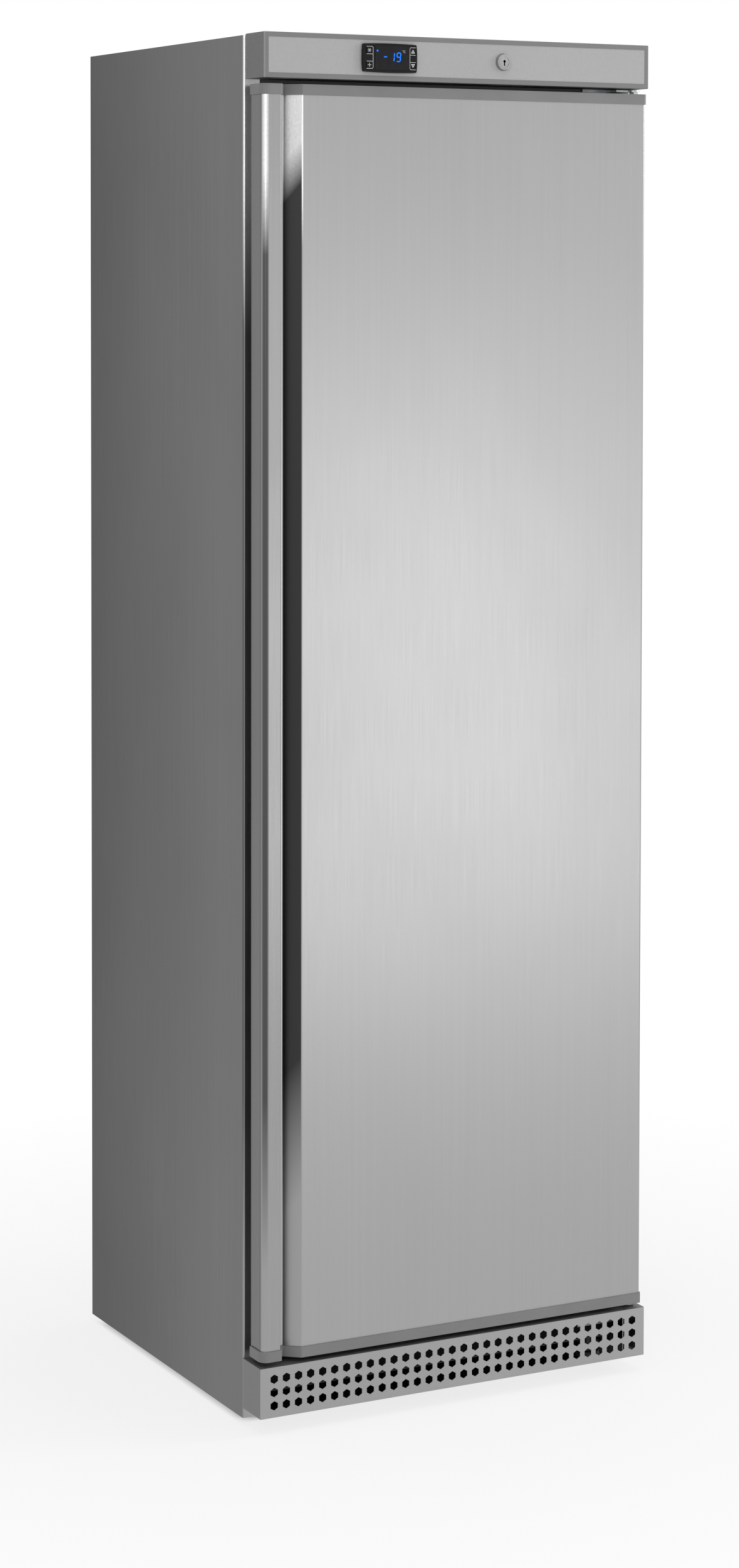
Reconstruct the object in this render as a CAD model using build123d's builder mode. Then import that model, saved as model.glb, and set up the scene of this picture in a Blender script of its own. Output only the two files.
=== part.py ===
from build123d import *
import os

# Upright freezer with one right-hung steel door.
# Millimetres, +Z up, the front faces -Y. The origin lies on the floor, in the middle
# of the bounding box. Depths called reach are measured forward of the cabinet's front.

os.makedirs("parts", exist_ok=True)

# ---- Cabinet ---------------------------------------------------------------------------------
cabinet_width = 600.0
cabinet_depth = 520.0
panel_height = 1850.0
floor_gap = 10.0  # lower edge of the side panels above the floor
steel = 1.0  # outer sheet
fold_radius = 3.0
front_fold = 24.0  # side panel's fold across the front
rear_fold = 18.0
side_wall = 58.0  # outer face to inner face of the liner
back_wall = 58.0
head_wall = 95.0  # top panel to ceiling of the liner
sill_height = 130.0  # floor of the liner above the floor
floor_foam = 56.0
liner_sheet = 2.0
liner_radius = 12.0
liner_flange = 26.0
running_gap = 0.3  # between pieces that move past each other

# ---- Machine space under the step at the back ------------------------------------------------
machine_depth = 230.0
machine_roof = 240.0  # underside of the roof above the floor
frame_height = 42.0  # top of the base frame above the floor
frame_sheet = 2.0
runner_width = 50.0
cross_rail_width = 40.0
roof_grommet = 8.0  # hole radius for the wiring loom
clear_hole = 0.5  # extra radius of a hole round a fixed pipe

# ---- Evaporator shelves ----------------------------------------------------------------------
shelf_count = 6
first_shelf_rise = 45.0  # lowest shelf above the liner's step
shelf_runs = 8
shelf_front_gap = 42.0
shelf_rear_gap = 28.0
shelf_side_gap = 33.0
evaporator_tube_radius = 4.0
braze_gap = 0.02  # between a straight run and its return bend
shelf_wire_radius = 1.5
shelf_wires = 13
wire_overhang = 6.0
weld_gap = 0.02  # wire above the tube it is welded to
riser_gap = 16.0  # riser's axis beyond the shelf's end
riser_bend = 8.0
support_width = 18.0
support_height = 12.0
support_reach = 6.0  # support's end past the tube's axis
seat_gap = 0.2

# ---- Air probe -------------------------------------------------------------------------------
probe_radius = 4.0
probe_length = 40.0
probe_x = -120.0
probe_drop = 60.0
probe_clip = 5.0

# ---- Control fascia --------------------------------------------------------------------------
fascia_reach = 56.0
fascia_height = 60.0
fascia_rise = 2.0  # above the side panels
fascia_inset = 3.5  # each end inside the cabinet's width
fascia_wall = 2.5
fascia_round = 2.0
fascia_border = 6.6
inlay_sheet = 1.2
inlay_sink = 0.4

# ---- Controller ------------------------------------------------------------------------------
controller_x = -112.0
controller_width = 82.0
controller_height = 39.0
controller_proud = 5.0
controller_bow = 1.0
controller_corner = 2.0
controller_body_width = 71.0
controller_body_height = 29.0
controller_body_depth = 44.0
window_width = 49.6
window_offset = 2.1  # right of the controller's middle
window_height = 31.0
window_depth = 1.5
window_proud = 0.4
key_width = 10.6
key_height = 10.4
key_depth = 3.2
key_proud = 0.5
key_travel = 0.5
key_gap = 0.25
key_offset_left = 31.5
key_offset_right = 34.0
key_offset_z = 9.7

# ---- Lock ------------------------------------------------------------------------------------
lock_x = 64.0
lock_flange_radius = 12.0
lock_flange_front_radius = 10.6
lock_flange_proud = 4.0
lock_barrel_radius = 9.3
lock_barrel_length = 24.0
lock_plug_radius = 7.0
running_fit = 0.05  # radial clearance of a turning pair
lock_spigot = 7.0
cam_width = 12.0
cam_length = 48.0
cam_sheet = 2.5
cam_slot_gap = 2.0
lock_slot_reach = 36.0  # slot in the door, right of the lock's axis
keyhole_radius = 1.9
keyhole_slot = 1.8
keyhole_drop = 5.0
keyhole_depth = 6.0
plug_sink = 0.6  # plug's face behind the flange's face
cam_round = 3.0
cam_hub_radius = 9.0
lock_nut_flats = 24.0
lock_nut_height = 4.0

# ---- Door ------------------------------------------------------------------------------------
door_side_gap = 5.0  # steel door edge inside the cabinet's side
door_reach = 49.4  # steel face forward of the cabinet
door_seal_space = 14.5  # door's rear plane forward of the cabinet
door_top_gap = 7.4
door_bottom_gap = 6.2
door_edge_round = 3.0
door_sheet = 1.0
cap_height = 14.0
cap_plate = 3.0
cap_proud = 2.0
grip_width = 31.0  # handle's edge to the face's edge, across the opening
grip_slant = 20.0
grip_floor_reach = 33.0
handle_width = 27.0
handle_post = 11.0
handle_lip = 3.0
handle_sheet = 1.2
handle_round = 9.0
lip_round = 1.2
bulge_gap = 14.0  # inner panel's bulge clear of the liner all round
bulge_depth = 14.0  # how far the bulge reaches into the cabinet
bulge_round = 6.0
panel_sheet = 2.0
gasket_width = 22.0
gasket_base_width = 12.0
gasket_base_depth = 5.0
gasket_side_gap = 14.0  # outer edge inside the cabinet's side

# ---- Hinges ----------------------------------------------------------------------------------
hinge_side = 14.0  # axis inside the cabinet's side
hinge_reach = 33.0
hinge_pin_radius = 4.0
hinge_pin_length = 20.0
hinge_collar_flats = 11.5
hinge_plate = 2.5
hinge_plate_gap = 1.4  # between the plate and the fascia or the grille
hinge_plate_width = 36.0
hinge_foot_width = 72.0
hinge_foot_height = 36.0
hinge_nose = 8.0
bush_wall = 2.5
collar_gap = 0.3
hinge_screw_radius = 2.5
hinge_screw_head = 4.5
hinge_screw_head_height = 2.5
hinge_screw_spacing = 24.0

# ---- Kick grille -----------------------------------------------------------------------------
grille_bottom = 24.0
grille_height = 67.6
grille_reach = 54.4
grille_sheet = 1.2
grille_fold = 12.0
hex_rows = 3
hex_columns = 32
hex_flats = 11.0
hex_pitch = 18.05
hex_row_pitch = 17.9

# ---- Compressor ------------------------------------------------------------------------------
compressor_side_gap = 190.0  # compressor's middle inside the cabinet's right side
compressor_length = 150.0
compressor_width = 120.0
compressor_height = 162.0
compressor_round = 26.0
compressor_seam_rise = 90.0
discharge_side = 45.0  # discharge stub left of the compressor's middle
compressor_seam = 4.0
compressor_seam_height = 5.0
compressor_base_length = 190.0
compressor_base_width = 110.0
compressor_base_sheet = 3.0
mount_spacing_x = 160.0
mount_spacing_y = 84.0
grommet_radius = 11.0
grommet_height = 12.0
mount_bolt_radius = 3.0
mount_bolt_head_radius = 6.0
mount_bolt_head_height = 4.0
relay_width = 62.0
relay_depth = 26.0
relay_height = 66.0

# ---- Condenser, fan and pipes ----------------------------------------------------------------
condenser_side_gap = 68.0  # condenser's middle inside the cabinet's side
condenser_thickness = 30.0
condenser_length = 168.0
condenser_height = 150.0
condenser_rise = 8.0  # tube field above the bottom of the fins
condenser_runs = 6
condenser_pitch = 25.0
condenser_bend = 10.0
condenser_tube_radius = 3.5
fin_count = 28
fin_sheet = 0.6
end_plate_sheet = 1.5
shroud_sheet = 1.5
shroud_hole_radius = 69.0
shroud_width = 168.0
shroud_height = 160.0
fan_radius = 66.0
fan_hub_radius = 20.0
fan_hub_length = 14.0
fan_blades = 5
fan_blade_sheet = 1.6
fan_blade_pitch = 28.0
fan_blade_chord = 26.0
fan_blade_bite = 3.0  # blade's root inside the hub
fan_shroud_gap = 6.0
motor_radius = 27.0
motor_length = 42.0
motor_gap = 3.0
motor_arm_width = 10.0
motor_arm_sheet = 3.0
fan_shaft_radius = 3.0
fan_shaft_length = 22.0
pipe_radius = 3.0
pipe_bend = 9.0
pipe_lane = 18.0  # pipes' lane behind the machine space's front wall
drier_radius = 9.0
drier_length = 100.0
drier_neck = 10.0
capillary_radius = 1.5
capillary_bend = 4.0
suction_rise = 172.0  # suction stub above the floor
stub_wall = 1.0  # pipe stubs on the compressor are this much thicker than the pipes
stub_reach = 2.0
loom_radius = 4.0
loom_bend = 18.0
loom_lane = 9.0  # loom's axis in front of the back panel

# ---- Rear cover and spacers ------------------------------------------------------------------
cover_bottom_gap = 6.0
cover_slot_width = 60.0
cover_slot_height = 6.0
cover_slot_rows = 7
cover_slot_columns = 5
cover_slot_pitch_x = 84.0
cover_slot_pitch_z = 18.0
gland_side_gap = 38.0  # gland's axis inside the cabinet's left side
gland_height = 62.0
gland_radius = 9.0
gland_flange_radius = 13.0
gland_bore_radius = 4.5
gland_length = 12.0
spacer_reach = 9.0
spacer_radius = 16.0
spacer_side_gap = 90.0
spacer_drop = 140.0
cover_screw_radius = 2.0
cover_screw_head_radius = 4.0
cover_screw_head_height = 2.0
cover_screw_length = 6.0
cover_screw_side_gap = 30.0
cover_screw_margin = 14.0

# ---- Rollers and feet ------------------------------------------------------------------------
roller_radius = 17.0
roller_width = 22.0
roller_side_gap = 32.0  # roller's middle inside the cabinet's side
roller_rear_gap = 46.0
axle_radius = 4.0
fork_sheet = 2.0
fork_length = 30.0
fork_gap = 0.6
foot_radius = 18.0
foot_height = 8.0
foot_stem_radius = 5.0
foot_stem_length = 44.0
foot_side_gap = 32.0  # foot's axis inside the cabinet's side
foot_front_gap = 46.0
foot_boss_radius = 10.0
foot_boss_height = 10.0

# ---- Places worked out from the sizes above --------------------------------------------------
front_reach = fascia_reach - inlay_sink + controller_proud + key_proud
overall_depth = front_reach + cabinet_depth + spacer_reach
half_width = cabinet_width / 2
inside_x = half_width - steel
front_y = front_reach - overall_depth / 2
back_y = front_y + cabinet_depth
panel_bottom = floor_gap
panel_top = floor_gap + panel_height
inner_half = half_width - side_wall
inner_back = back_y - back_wall
opening_bottom = sill_height
opening_top = panel_top - head_wall
frame_face_y = front_y + steel
base_top = sill_height - liner_sheet - floor_foam
base_under = base_top - steel
step_wall_y = back_y - machine_depth
roof_top = machine_roof + steel
step_top = roof_top + floor_foam + liner_sheet
step_front = step_wall_y - steel - floor_foam - liner_sheet
rear_face_y = back_y - 2 * steel
capillary_y = rear_face_y - loom_lane

shelf_half = inner_half - shelf_side_gap
shelf_front_y = front_y + shelf_front_gap
shelf_rear_y = inner_back - shelf_rear_gap
run_pitch = (shelf_rear_y - shelf_front_y) / (shelf_runs - 1)
first_shelf_z = step_top + first_shelf_rise
shelf_pitch = (opening_top - first_shelf_z) / shelf_count
riser_x = shelf_half + riser_gap

fascia_top = panel_top + fascia_rise
fascia_bottom = fascia_top - fascia_height
fascia_middle = (fascia_top + fascia_bottom) / 2
fascia_half = half_width - fascia_inset
fascia_front_y = front_y - fascia_reach
inlay_front_y = fascia_front_y + inlay_sink
inlay_back_y = inlay_front_y + inlay_sheet
inlay_half_width = fascia_half - fascia_border
inlay_height = fascia_height - 2 * fascia_border
bezel_front_y = inlay_front_y - controller_proud

lock_z = fascia_middle
lock_front_y = inlay_front_y - lock_flange_proud
lock_back_y = inlay_front_y + lock_barrel_length
cam_front_y = lock_back_y + running_gap

grille_top = grille_bottom + grille_height
grille_front_y = front_y - grille_reach
door_top = fascia_bottom - door_top_gap
door_bottom = grille_top + door_bottom_gap
door_left = -half_width + door_side_gap
door_right = half_width - door_side_gap
door_face_y = front_y - door_reach
door_rear_y = front_y - door_seal_space
door_steel_bottom = door_bottom + cap_plate
door_steel_top = door_top - cap_plate
door_steel_height = door_steel_top - door_steel_bottom
handle_edge = door_left + handle_width
face_edge = handle_edge + grip_width
grip_floor_y = front_y - grip_floor_reach
grip_floor_edge = face_edge - grip_slant
post_edge = door_left + handle_post
gasket_half = half_width - gasket_side_gap
gasket_top = opening_top + gasket_width
gasket_bottom = opening_bottom - gasket_width

hinge_x = half_width - hinge_side
hinge_y = front_y - hinge_reach
hinge_top_plate_z = fascia_bottom - hinge_plate_gap
hinge_low_plate_z = grille_top + hinge_plate_gap
hinge_foot_x = fascia_half - fascia_wall - running_gap - hinge_foot_width / 2
hinge_notch = hinge_foot_width + 2 * running_gap
bush_radius = hinge_pin_radius + running_fit + bush_wall

machine_front_y = step_wall_y
machine_back_y = rear_face_y
compressor_x = half_width - compressor_side_gap
compressor_y = shelf_rear_y
compressor_base_z = frame_height + grommet_height
compressor_floor_z = compressor_base_z + compressor_base_sheet
condenser_x = -half_width + condenser_side_gap
condenser_y = (machine_front_y + machine_back_y) / 2 + pipe_lane / 2
condenser_front_y = condenser_y - condenser_length / 2
condenser_back_y = condenser_y + condenser_length / 2
shroud_x = condenser_x + condenser_thickness / 2
fan_z = frame_height + shroud_height / 2
lane_y = machine_front_y + pipe_lane
condenser_low_z = frame_height + condenser_rise + condenser_pitch / 2
condenser_high_z = condenser_low_z + (condenser_runs - 1) * condenser_pitch
motor_x = shroud_x + shroud_sheet + fan_shroud_gap + fan_hub_length + motor_gap
discharge_x = compressor_x - discharge_side
roller_x = half_width - roller_side_gap
roller_y = back_y - roller_rear_gap
foot_x = half_width - foot_side_gap
foot_y = front_y + foot_front_gap
gland_x = gland_side_gap - half_width
spacer_x = half_width - spacer_side_gap
cover_screw_x = half_width - cover_screw_side_gap
cover_bottom = floor_gap + cover_bottom_gap
cover_middle_z = (cover_bottom + machine_roof) / 2


def level(z):
    """A horizontal plane at height z."""
    return Plane.XY.offset(z)


def facing_front(y):
    """An upright plane at depth y, looking forward: local x is X, local y is Z."""
    return Plane.XZ.offset(-y)


def facing_side(x):
    """An upright plane at x, looking right: local x is Y, local y is Z."""
    return Plane.YZ.offset(x)


def block(x, y, z, mode=Mode.ADD):
    """A box between two values in each of x, y and z."""
    with Locations(((x[0] + x[1]) / 2, (y[0] + y[1]) / 2, (z[0] + z[1]) / 2)):
        Box(x[1] - x[0], y[1] - y[0], z[1] - z[0], mode=mode)


def rod(start, toward, radius, length, mode=Mode.ADD):
    """A round bar that runs from start along the direction toward."""
    with Locations(Plane(origin=start, z_dir=toward).location):
        Cylinder(radius, length, align=(Align.CENTER, Align.CENTER, Align.MIN), mode=mode)


def bent_tube(points, bend, radius):
    """A round tube along straight runs joined by arcs."""
    with BuildPart() as tube:
        with BuildLine():
            route = FilletPolyline(*points, radius=bend)
        with BuildSketch(Plane(origin=route @ 0, z_dir=route % 0)):
            Circle(radius)
        sweep()
    return tube.part


def save(piece, name):
    """Label a finished piece and write it to its own file."""
    piece.label = name
    export_step(piece, f"parts/{name}.step")


# ==== Outer cabinet ===========================================================================
with BuildPart() as left_side_panel:
    with BuildSketch(level(panel_bottom)) as fold_profile:
        with BuildLine():
            Polyline(
                (-half_width + front_fold, front_y),
                (-half_width, front_y),
                (-half_width, back_y),
                (-half_width + rear_fold, back_y),
                (-half_width + rear_fold, back_y - steel),
                (-inside_x, back_y - steel),
                (-inside_x, front_y + steel),
                (-half_width + front_fold, front_y + steel),
                close=True,
            )
        make_face()
        for y in (front_y, back_y):
            fillet(fold_profile.vertices().sort_by_distance((-half_width, y))[0], fold_radius)
        for y in (front_y + steel, back_y - steel):
            fillet(fold_profile.vertices().sort_by_distance((-inside_x, y))[0], fold_radius - steel)
    extrude(amount=panel_height)
save(left_side_panel.part, "left_side_panel")

with BuildPart() as right_side_panel:
    mirror(left_side_panel.part, about=Plane.YZ)
save(right_side_panel.part, "right_side_panel")

# The foam fills the corners behind the panels' folds, so its edges have the same round.
inner_fold_radius = fold_radius - steel

with BuildPart() as top_panel:
    block((-inside_x, inside_x), (frame_face_y, rear_face_y), (panel_top - steel, panel_top))
    fillet(top_panel.edges().filter_by(Axis.Z), inner_fold_radius)
save(top_panel.part, "top_panel")

with BuildPart() as back_panel:
    block(
        (-inside_x + inner_fold_radius, inside_x - inner_fold_radius),
        (rear_face_y, back_y - steel),
        (machine_roof, panel_top),
    )
save(back_panel.part, "back_panel")

with BuildPart() as front_frame:
    frame_half = half_width - front_fold
    with BuildSketch(facing_front(frame_face_y)):
        with Locations((0, (frame_height + panel_top) / 2)):
            Rectangle(2 * frame_half, panel_top - frame_height)
        with Locations((0, (opening_bottom + opening_top) / 2)):
            Rectangle(2 * inner_half, opening_top - opening_bottom, mode=Mode.SUBTRACT)
        with Locations((controller_x, fascia_middle)):
            Circle(roof_grommet, mode=Mode.SUBTRACT)
    extrude(amount=steel)
save(front_frame.part, "front_frame")

with BuildPart() as base_pan:
    with BuildSketch(facing_side(-inside_x)):
        with BuildLine():
            Polyline(
                (frame_face_y, base_under),
                (step_wall_y, base_under),
                (step_wall_y, machine_roof),
                (rear_face_y, machine_roof),
                (rear_face_y, roof_top),
                (step_wall_y - steel, roof_top),
                (step_wall_y - steel, base_top),
                (frame_face_y, base_top),
                close=True,
            )
        make_face()
    extrude(amount=2 * inside_x)
    upright = base_pan.edges().filter_by(Axis.Z).group_by(Axis.Y)
    fillet(upright[0] + upright[-1], inner_fold_radius)
    roof_start = machine_roof - steel
    rod((controller_x, rear_face_y - loom_lane, roof_start), (0, 0, 1), roof_grommet, 3 * steel,
        mode=Mode.SUBTRACT)
    rod((riser_x, shelf_rear_y, roof_start), (0, 0, 1), evaporator_tube_radius + clear_hole,
        3 * steel, mode=Mode.SUBTRACT)
    rod((riser_x, capillary_y, roof_start), (0, 0, 1), capillary_radius + clear_hole, 3 * steel,
        mode=Mode.SUBTRACT)
save(base_pan.part, "base_pan")


def cavity(grow):
    """The food space, larger by grow on every wall, open at the front."""
    corners_y = (step_front + grow, inner_back + grow)
    with BuildPart() as hollow:
        with BuildSketch(facing_side(-inner_half - grow)) as section:
            with BuildLine():
                Polyline(
                    (frame_face_y, opening_bottom - grow),
                    (corners_y[0], opening_bottom - grow),
                    (corners_y[0], step_top - grow),
                    (corners_y[1], step_top - grow),
                    (corners_y[1], opening_top + grow),
                    (frame_face_y, opening_top + grow),
                    close=True,
                )
            make_face()
            for corner in (
                (corners_y[0], opening_bottom - grow),
                (corners_y[1], step_top - grow),
                (corners_y[1], opening_top + grow),
            ):
                fillet(section.vertices().sort_by_distance(corner)[0], liner_radius + grow)
            ridge = (corners_y[0], step_top - grow)
            fillet(section.vertices().sort_by_distance(ridge)[0], liner_radius - grow)
        extrude(amount=2 * (inner_half + grow))
    return hollow.part


top_shelf_z = first_shelf_z + (shelf_count - 1) * shelf_pitch
flange_back_y = frame_face_y + liner_sheet

food_space = cavity(0)
liner_shape = cavity(liner_sheet)

with BuildPart() as inner_liner:
    add(liner_shape)
    with BuildSketch(facing_front(flange_back_y)):
        with Locations((0, (opening_bottom + opening_top) / 2)):
            Rectangle(2 * (inner_half + liner_flange), opening_top - opening_bottom + 2 * liner_flange)
    extrude(amount=liner_sheet)
    add(food_space, mode=Mode.SUBTRACT)
    rod((riser_x, shelf_rear_y, roof_top), (0, 0, 1), evaporator_tube_radius + clear_hole,
        floor_foam + 2 * liner_radius, mode=Mode.SUBTRACT)
    rod((riser_x, inner_back - liner_radius, top_shelf_z), (0, 1, 0), capillary_radius + clear_hole,
        2 * liner_radius, mode=Mode.SUBTRACT)
save(inner_liner.part, "inner_liner")

loom_route = (
    (controller_x, frame_face_y - fold_radius, fascia_middle),
    (controller_x, rear_face_y - loom_lane, fascia_middle),
    (controller_x, rear_face_y - loom_lane, machine_roof - steel),
)
loom_channel = bent_tube(loom_route, loom_bend, loom_radius + clear_hole)
capillary_route = (
    (riser_x, capillary_y, machine_roof),
    (riser_x, capillary_y, top_shelf_z),
    (riser_x, inner_back - liner_radius, top_shelf_z),
)
capillary_channel = bent_tube(capillary_route, capillary_bend, capillary_radius + clear_hole)

with BuildPart() as cabinet_foam:
    with BuildSketch(facing_side(-inside_x)):
        with BuildLine():
            Polyline(
                (frame_face_y, base_top),
                (step_wall_y - steel, base_top),
                (step_wall_y - steel, roof_top),
                (rear_face_y, roof_top),
                (rear_face_y, panel_top - steel),
                (frame_face_y, panel_top - steel),
                close=True,
            )
        make_face()
    extrude(amount=2 * inside_x)
    fillet(cabinet_foam.edges().filter_by(Axis.Z).filter_by(
        lambda edge: abs(edge.center().Y - step_wall_y) > liner_radius), inner_fold_radius)
    block(
        (-inner_half - liner_flange, inner_half + liner_flange),
        (frame_face_y, flange_back_y),
        (opening_bottom - liner_flange, opening_top + liner_flange),
        mode=Mode.SUBTRACT,
    )
    add(liner_shape, mode=Mode.SUBTRACT)
    add(loom_channel, mode=Mode.SUBTRACT)
    rod((riser_x, shelf_rear_y, machine_roof), (0, 0, 1), evaporator_tube_radius + clear_hole,
        floor_foam + 2 * liner_radius, mode=Mode.SUBTRACT)
    add(capillary_channel, mode=Mode.SUBTRACT)
save(cabinet_foam.part, "cabinet_foam")

# ==== Base frame, rollers and feet ============================================================
frame_under = frame_height - frame_sheet

with BuildPart() as base_frame:
    with BuildSketch(level(frame_under)):
        with Locations((0, (frame_face_y + rear_face_y) / 2)):
            Rectangle(2 * inside_x, rear_face_y - frame_face_y)
        air_front = frame_face_y + cross_rail_width
        with Locations((0, (air_front + step_wall_y) / 2)):
            Rectangle(2 * (inside_x - runner_width), step_wall_y - air_front, mode=Mode.SUBTRACT)
    extrude(amount=frame_sheet)
    fillet(base_frame.edges().filter_by(Axis.Z).group_by(Axis.X)[0], inner_fold_radius)
    fillet(base_frame.edges().filter_by(Axis.Z).group_by(Axis.X)[-1], inner_fold_radius)
    leg_low = panel_bottom + frame_sheet
    for side in (-1, 1):
        outer = side * inside_x
        inner = side * (inside_x - frame_sheet)
        block(
            (min(outer, inner), max(outer, inner)),
            (frame_face_y + inner_fold_radius, rear_face_y - inner_fold_radius),
            (leg_low, frame_under),
        )
        rod((side * foot_x, foot_y, frame_under - foot_boss_height), (0, 0, 1), foot_boss_radius,
            foot_boss_height)
        rod((side * foot_x, foot_y, frame_under - foot_boss_height), (0, 0, 1),
            foot_stem_radius + running_fit, foot_boss_height + frame_sheet, mode=Mode.SUBTRACT)
    block(
        (-inside_x + inner_fold_radius, inside_x - inner_fold_radius),
        (frame_face_y, frame_face_y + frame_sheet),
        (frame_height, base_under),
    )
save(base_frame.part, "base_frame")

roller_z = roller_radius
fork_half = roller_width / 2 + fork_gap + fork_sheet
with BuildPart() as roller_forks:
    for side in (-1, 1):
        x = side * roller_x
        rod((x - fork_half, roller_y, roller_z), (1, 0, 0), axle_radius, 2 * fork_half)
        block((x - fork_half, x + fork_half), (roller_y - fork_length / 2, roller_y + fork_length / 2),
              (frame_under - fork_sheet, frame_under))
        for ear in (-1, 1):
            ear_x = x + ear * (fork_half - fork_sheet / 2)
            with BuildSketch(facing_side(ear_x - fork_sheet / 2)):
                with Locations((roller_y, (roller_z + frame_under - fork_sheet) / 2)):
                    Rectangle(2 * (axle_radius + fork_sheet), frame_under - fork_sheet - roller_z)
                with Locations((roller_y, roller_z)):
                    Circle(axle_radius + fork_sheet)
            extrude(amount=fork_sheet)
save(roller_forks.part, "roller_forks")


def roller(x):
    """One rear roller, bored to turn on its axle."""
    with BuildPart() as wheel:
        with BuildSketch(facing_side(x - roller_width / 2)):
            with Locations((roller_y, roller_z)):
                Circle(roller_radius)
                Circle(axle_radius + running_fit, mode=Mode.SUBTRACT)
        extrude(amount=roller_width)
        rims = wheel.edges().filter_by(GeomType.CIRCLE).filter_by(
            lambda edge: edge.radius > axle_radius + 1)
        fillet(rims, fork_sheet)
    return wheel.part


save(roller(-roller_x), "left_roller")
save(roller(roller_x), "right_roller")


def foot(x):
    """One levelling foot: a flat pad with its threaded stem."""
    with BuildPart() as pad:
        rod((x, foot_y, 0), (0, 0, 1), foot_radius, foot_height)
        fillet(pad.edges().group_by(Axis.Z)[-1], foot_height / 4)
        rod((x, foot_y, foot_height), (0, 0, 1), foot_stem_radius, foot_stem_length)
    return pad.part


save(foot(-foot_x), "left_foot")
save(foot(foot_x), "right_foot")

# ==== Evaporator ==============================================================================
shelf_levels = [first_shelf_z + number * shelf_pitch for number in range(shelf_count)]
run_levels = [shelf_front_y + number * run_pitch for number in range(shelf_runs)]


bend_radius = run_pitch / 2
bend_x = shelf_half - bend_radius


def return_bend(number):
    """The half turn that joins one straight run to the next, at alternate ends."""
    side = -1 if number % 2 == 0 else 1
    middle_y = run_levels[number] + bend_radius
    with BuildPart() as bend:
        with BuildSketch(facing_side(side * bend_x)):
            with Locations((middle_y - bend_radius, 0)):
                Circle(evaporator_tube_radius)
        revolve(axis=Axis((side * bend_x, middle_y, 0), (0, 0, side)), revolution_arc=180)
    return bend.part


return_bends = [return_bend(number) for number in range(shelf_runs - 1)]

# A shelf is one tube: straight runs and the return bends brazed to them, with wires across.
with BuildPart() as shelf_pattern:
    add(return_bends)
    for number, y in enumerate(run_levels):
        start_x = -bend_x + braze_gap
        end_x = shelf_half if number in (0, shelf_runs - 1) else bend_x - braze_gap
        rod((start_x, y, 0), (1, 0, 0), evaporator_tube_radius, end_x - start_x)
    wire_z = evaporator_tube_radius + shelf_wire_radius + weld_gap
    wire_span = 2 * shelf_half - 2 * run_pitch
    wire_length = shelf_rear_y - shelf_front_y + 2 * wire_overhang
    for number in range(shelf_wires):
        x = -wire_span / 2 + wire_span * number / (shelf_wires - 1)
        rod((x, shelf_front_y - wire_overhang, wire_z), (0, 1, 0), shelf_wire_radius, wire_length)

with BuildPart() as evaporator_shelves:
    with Locations([(0, 0, z) for z in shelf_levels]):
        add(shelf_pattern.part)
save(evaporator_shelves.part, "evaporator_shelves")

links = []
for number in range(shelf_count - 1):
    y = run_levels[0] if number % 2 == 0 else run_levels[-1]
    low = shelf_levels[number]
    high = shelf_levels[number + 1]
    link_route = ((shelf_half, y, low), (riser_x, y, low), (riser_x, y, high), (shelf_half, y, high))
    links.append(bent_tube(link_route, riser_bend, evaporator_tube_radius))

with BuildPart() as evaporator_links:
    add(links)
save(evaporator_links.part, "evaporator_links")

with BuildPart() as shelf_supports:
    for z in shelf_levels:
        seat = z - evaporator_tube_radius - seat_gap
        for side, run in ((-1, 2), (-1, 6), (1, 1), (1, 5)):
            # Each support stands under the bend between this run and the next.
            y = run_levels[run] + run_pitch / 2
            wall_x = side * inner_half
            tip_x = side * (shelf_half - support_reach)
            block((min(wall_x, tip_x), max(wall_x, tip_x)), (y - support_width / 2, y + support_width / 2),
                  (seat - support_height, seat))
save(shelf_supports.part, "shelf_supports")

probe_z = opening_top - probe_drop
with BuildPart() as air_probe:
    rod((probe_x, inner_back - probe_clip, probe_z - probe_length / 2), (0, 0, 1), probe_radius, probe_length)
    fillet(air_probe.edges().filter_by(GeomType.CIRCLE), probe_radius / 3)
    for end in (-1, 1):
        z = probe_z + end * probe_length / 4
        block((probe_x - probe_radius - 1, probe_x + probe_radius + 1),
              (inner_back - probe_clip - probe_radius / 2, inner_back),
              (z - probe_clip / 2, z + probe_clip / 2))
save(air_probe.part, "air_probe")

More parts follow.
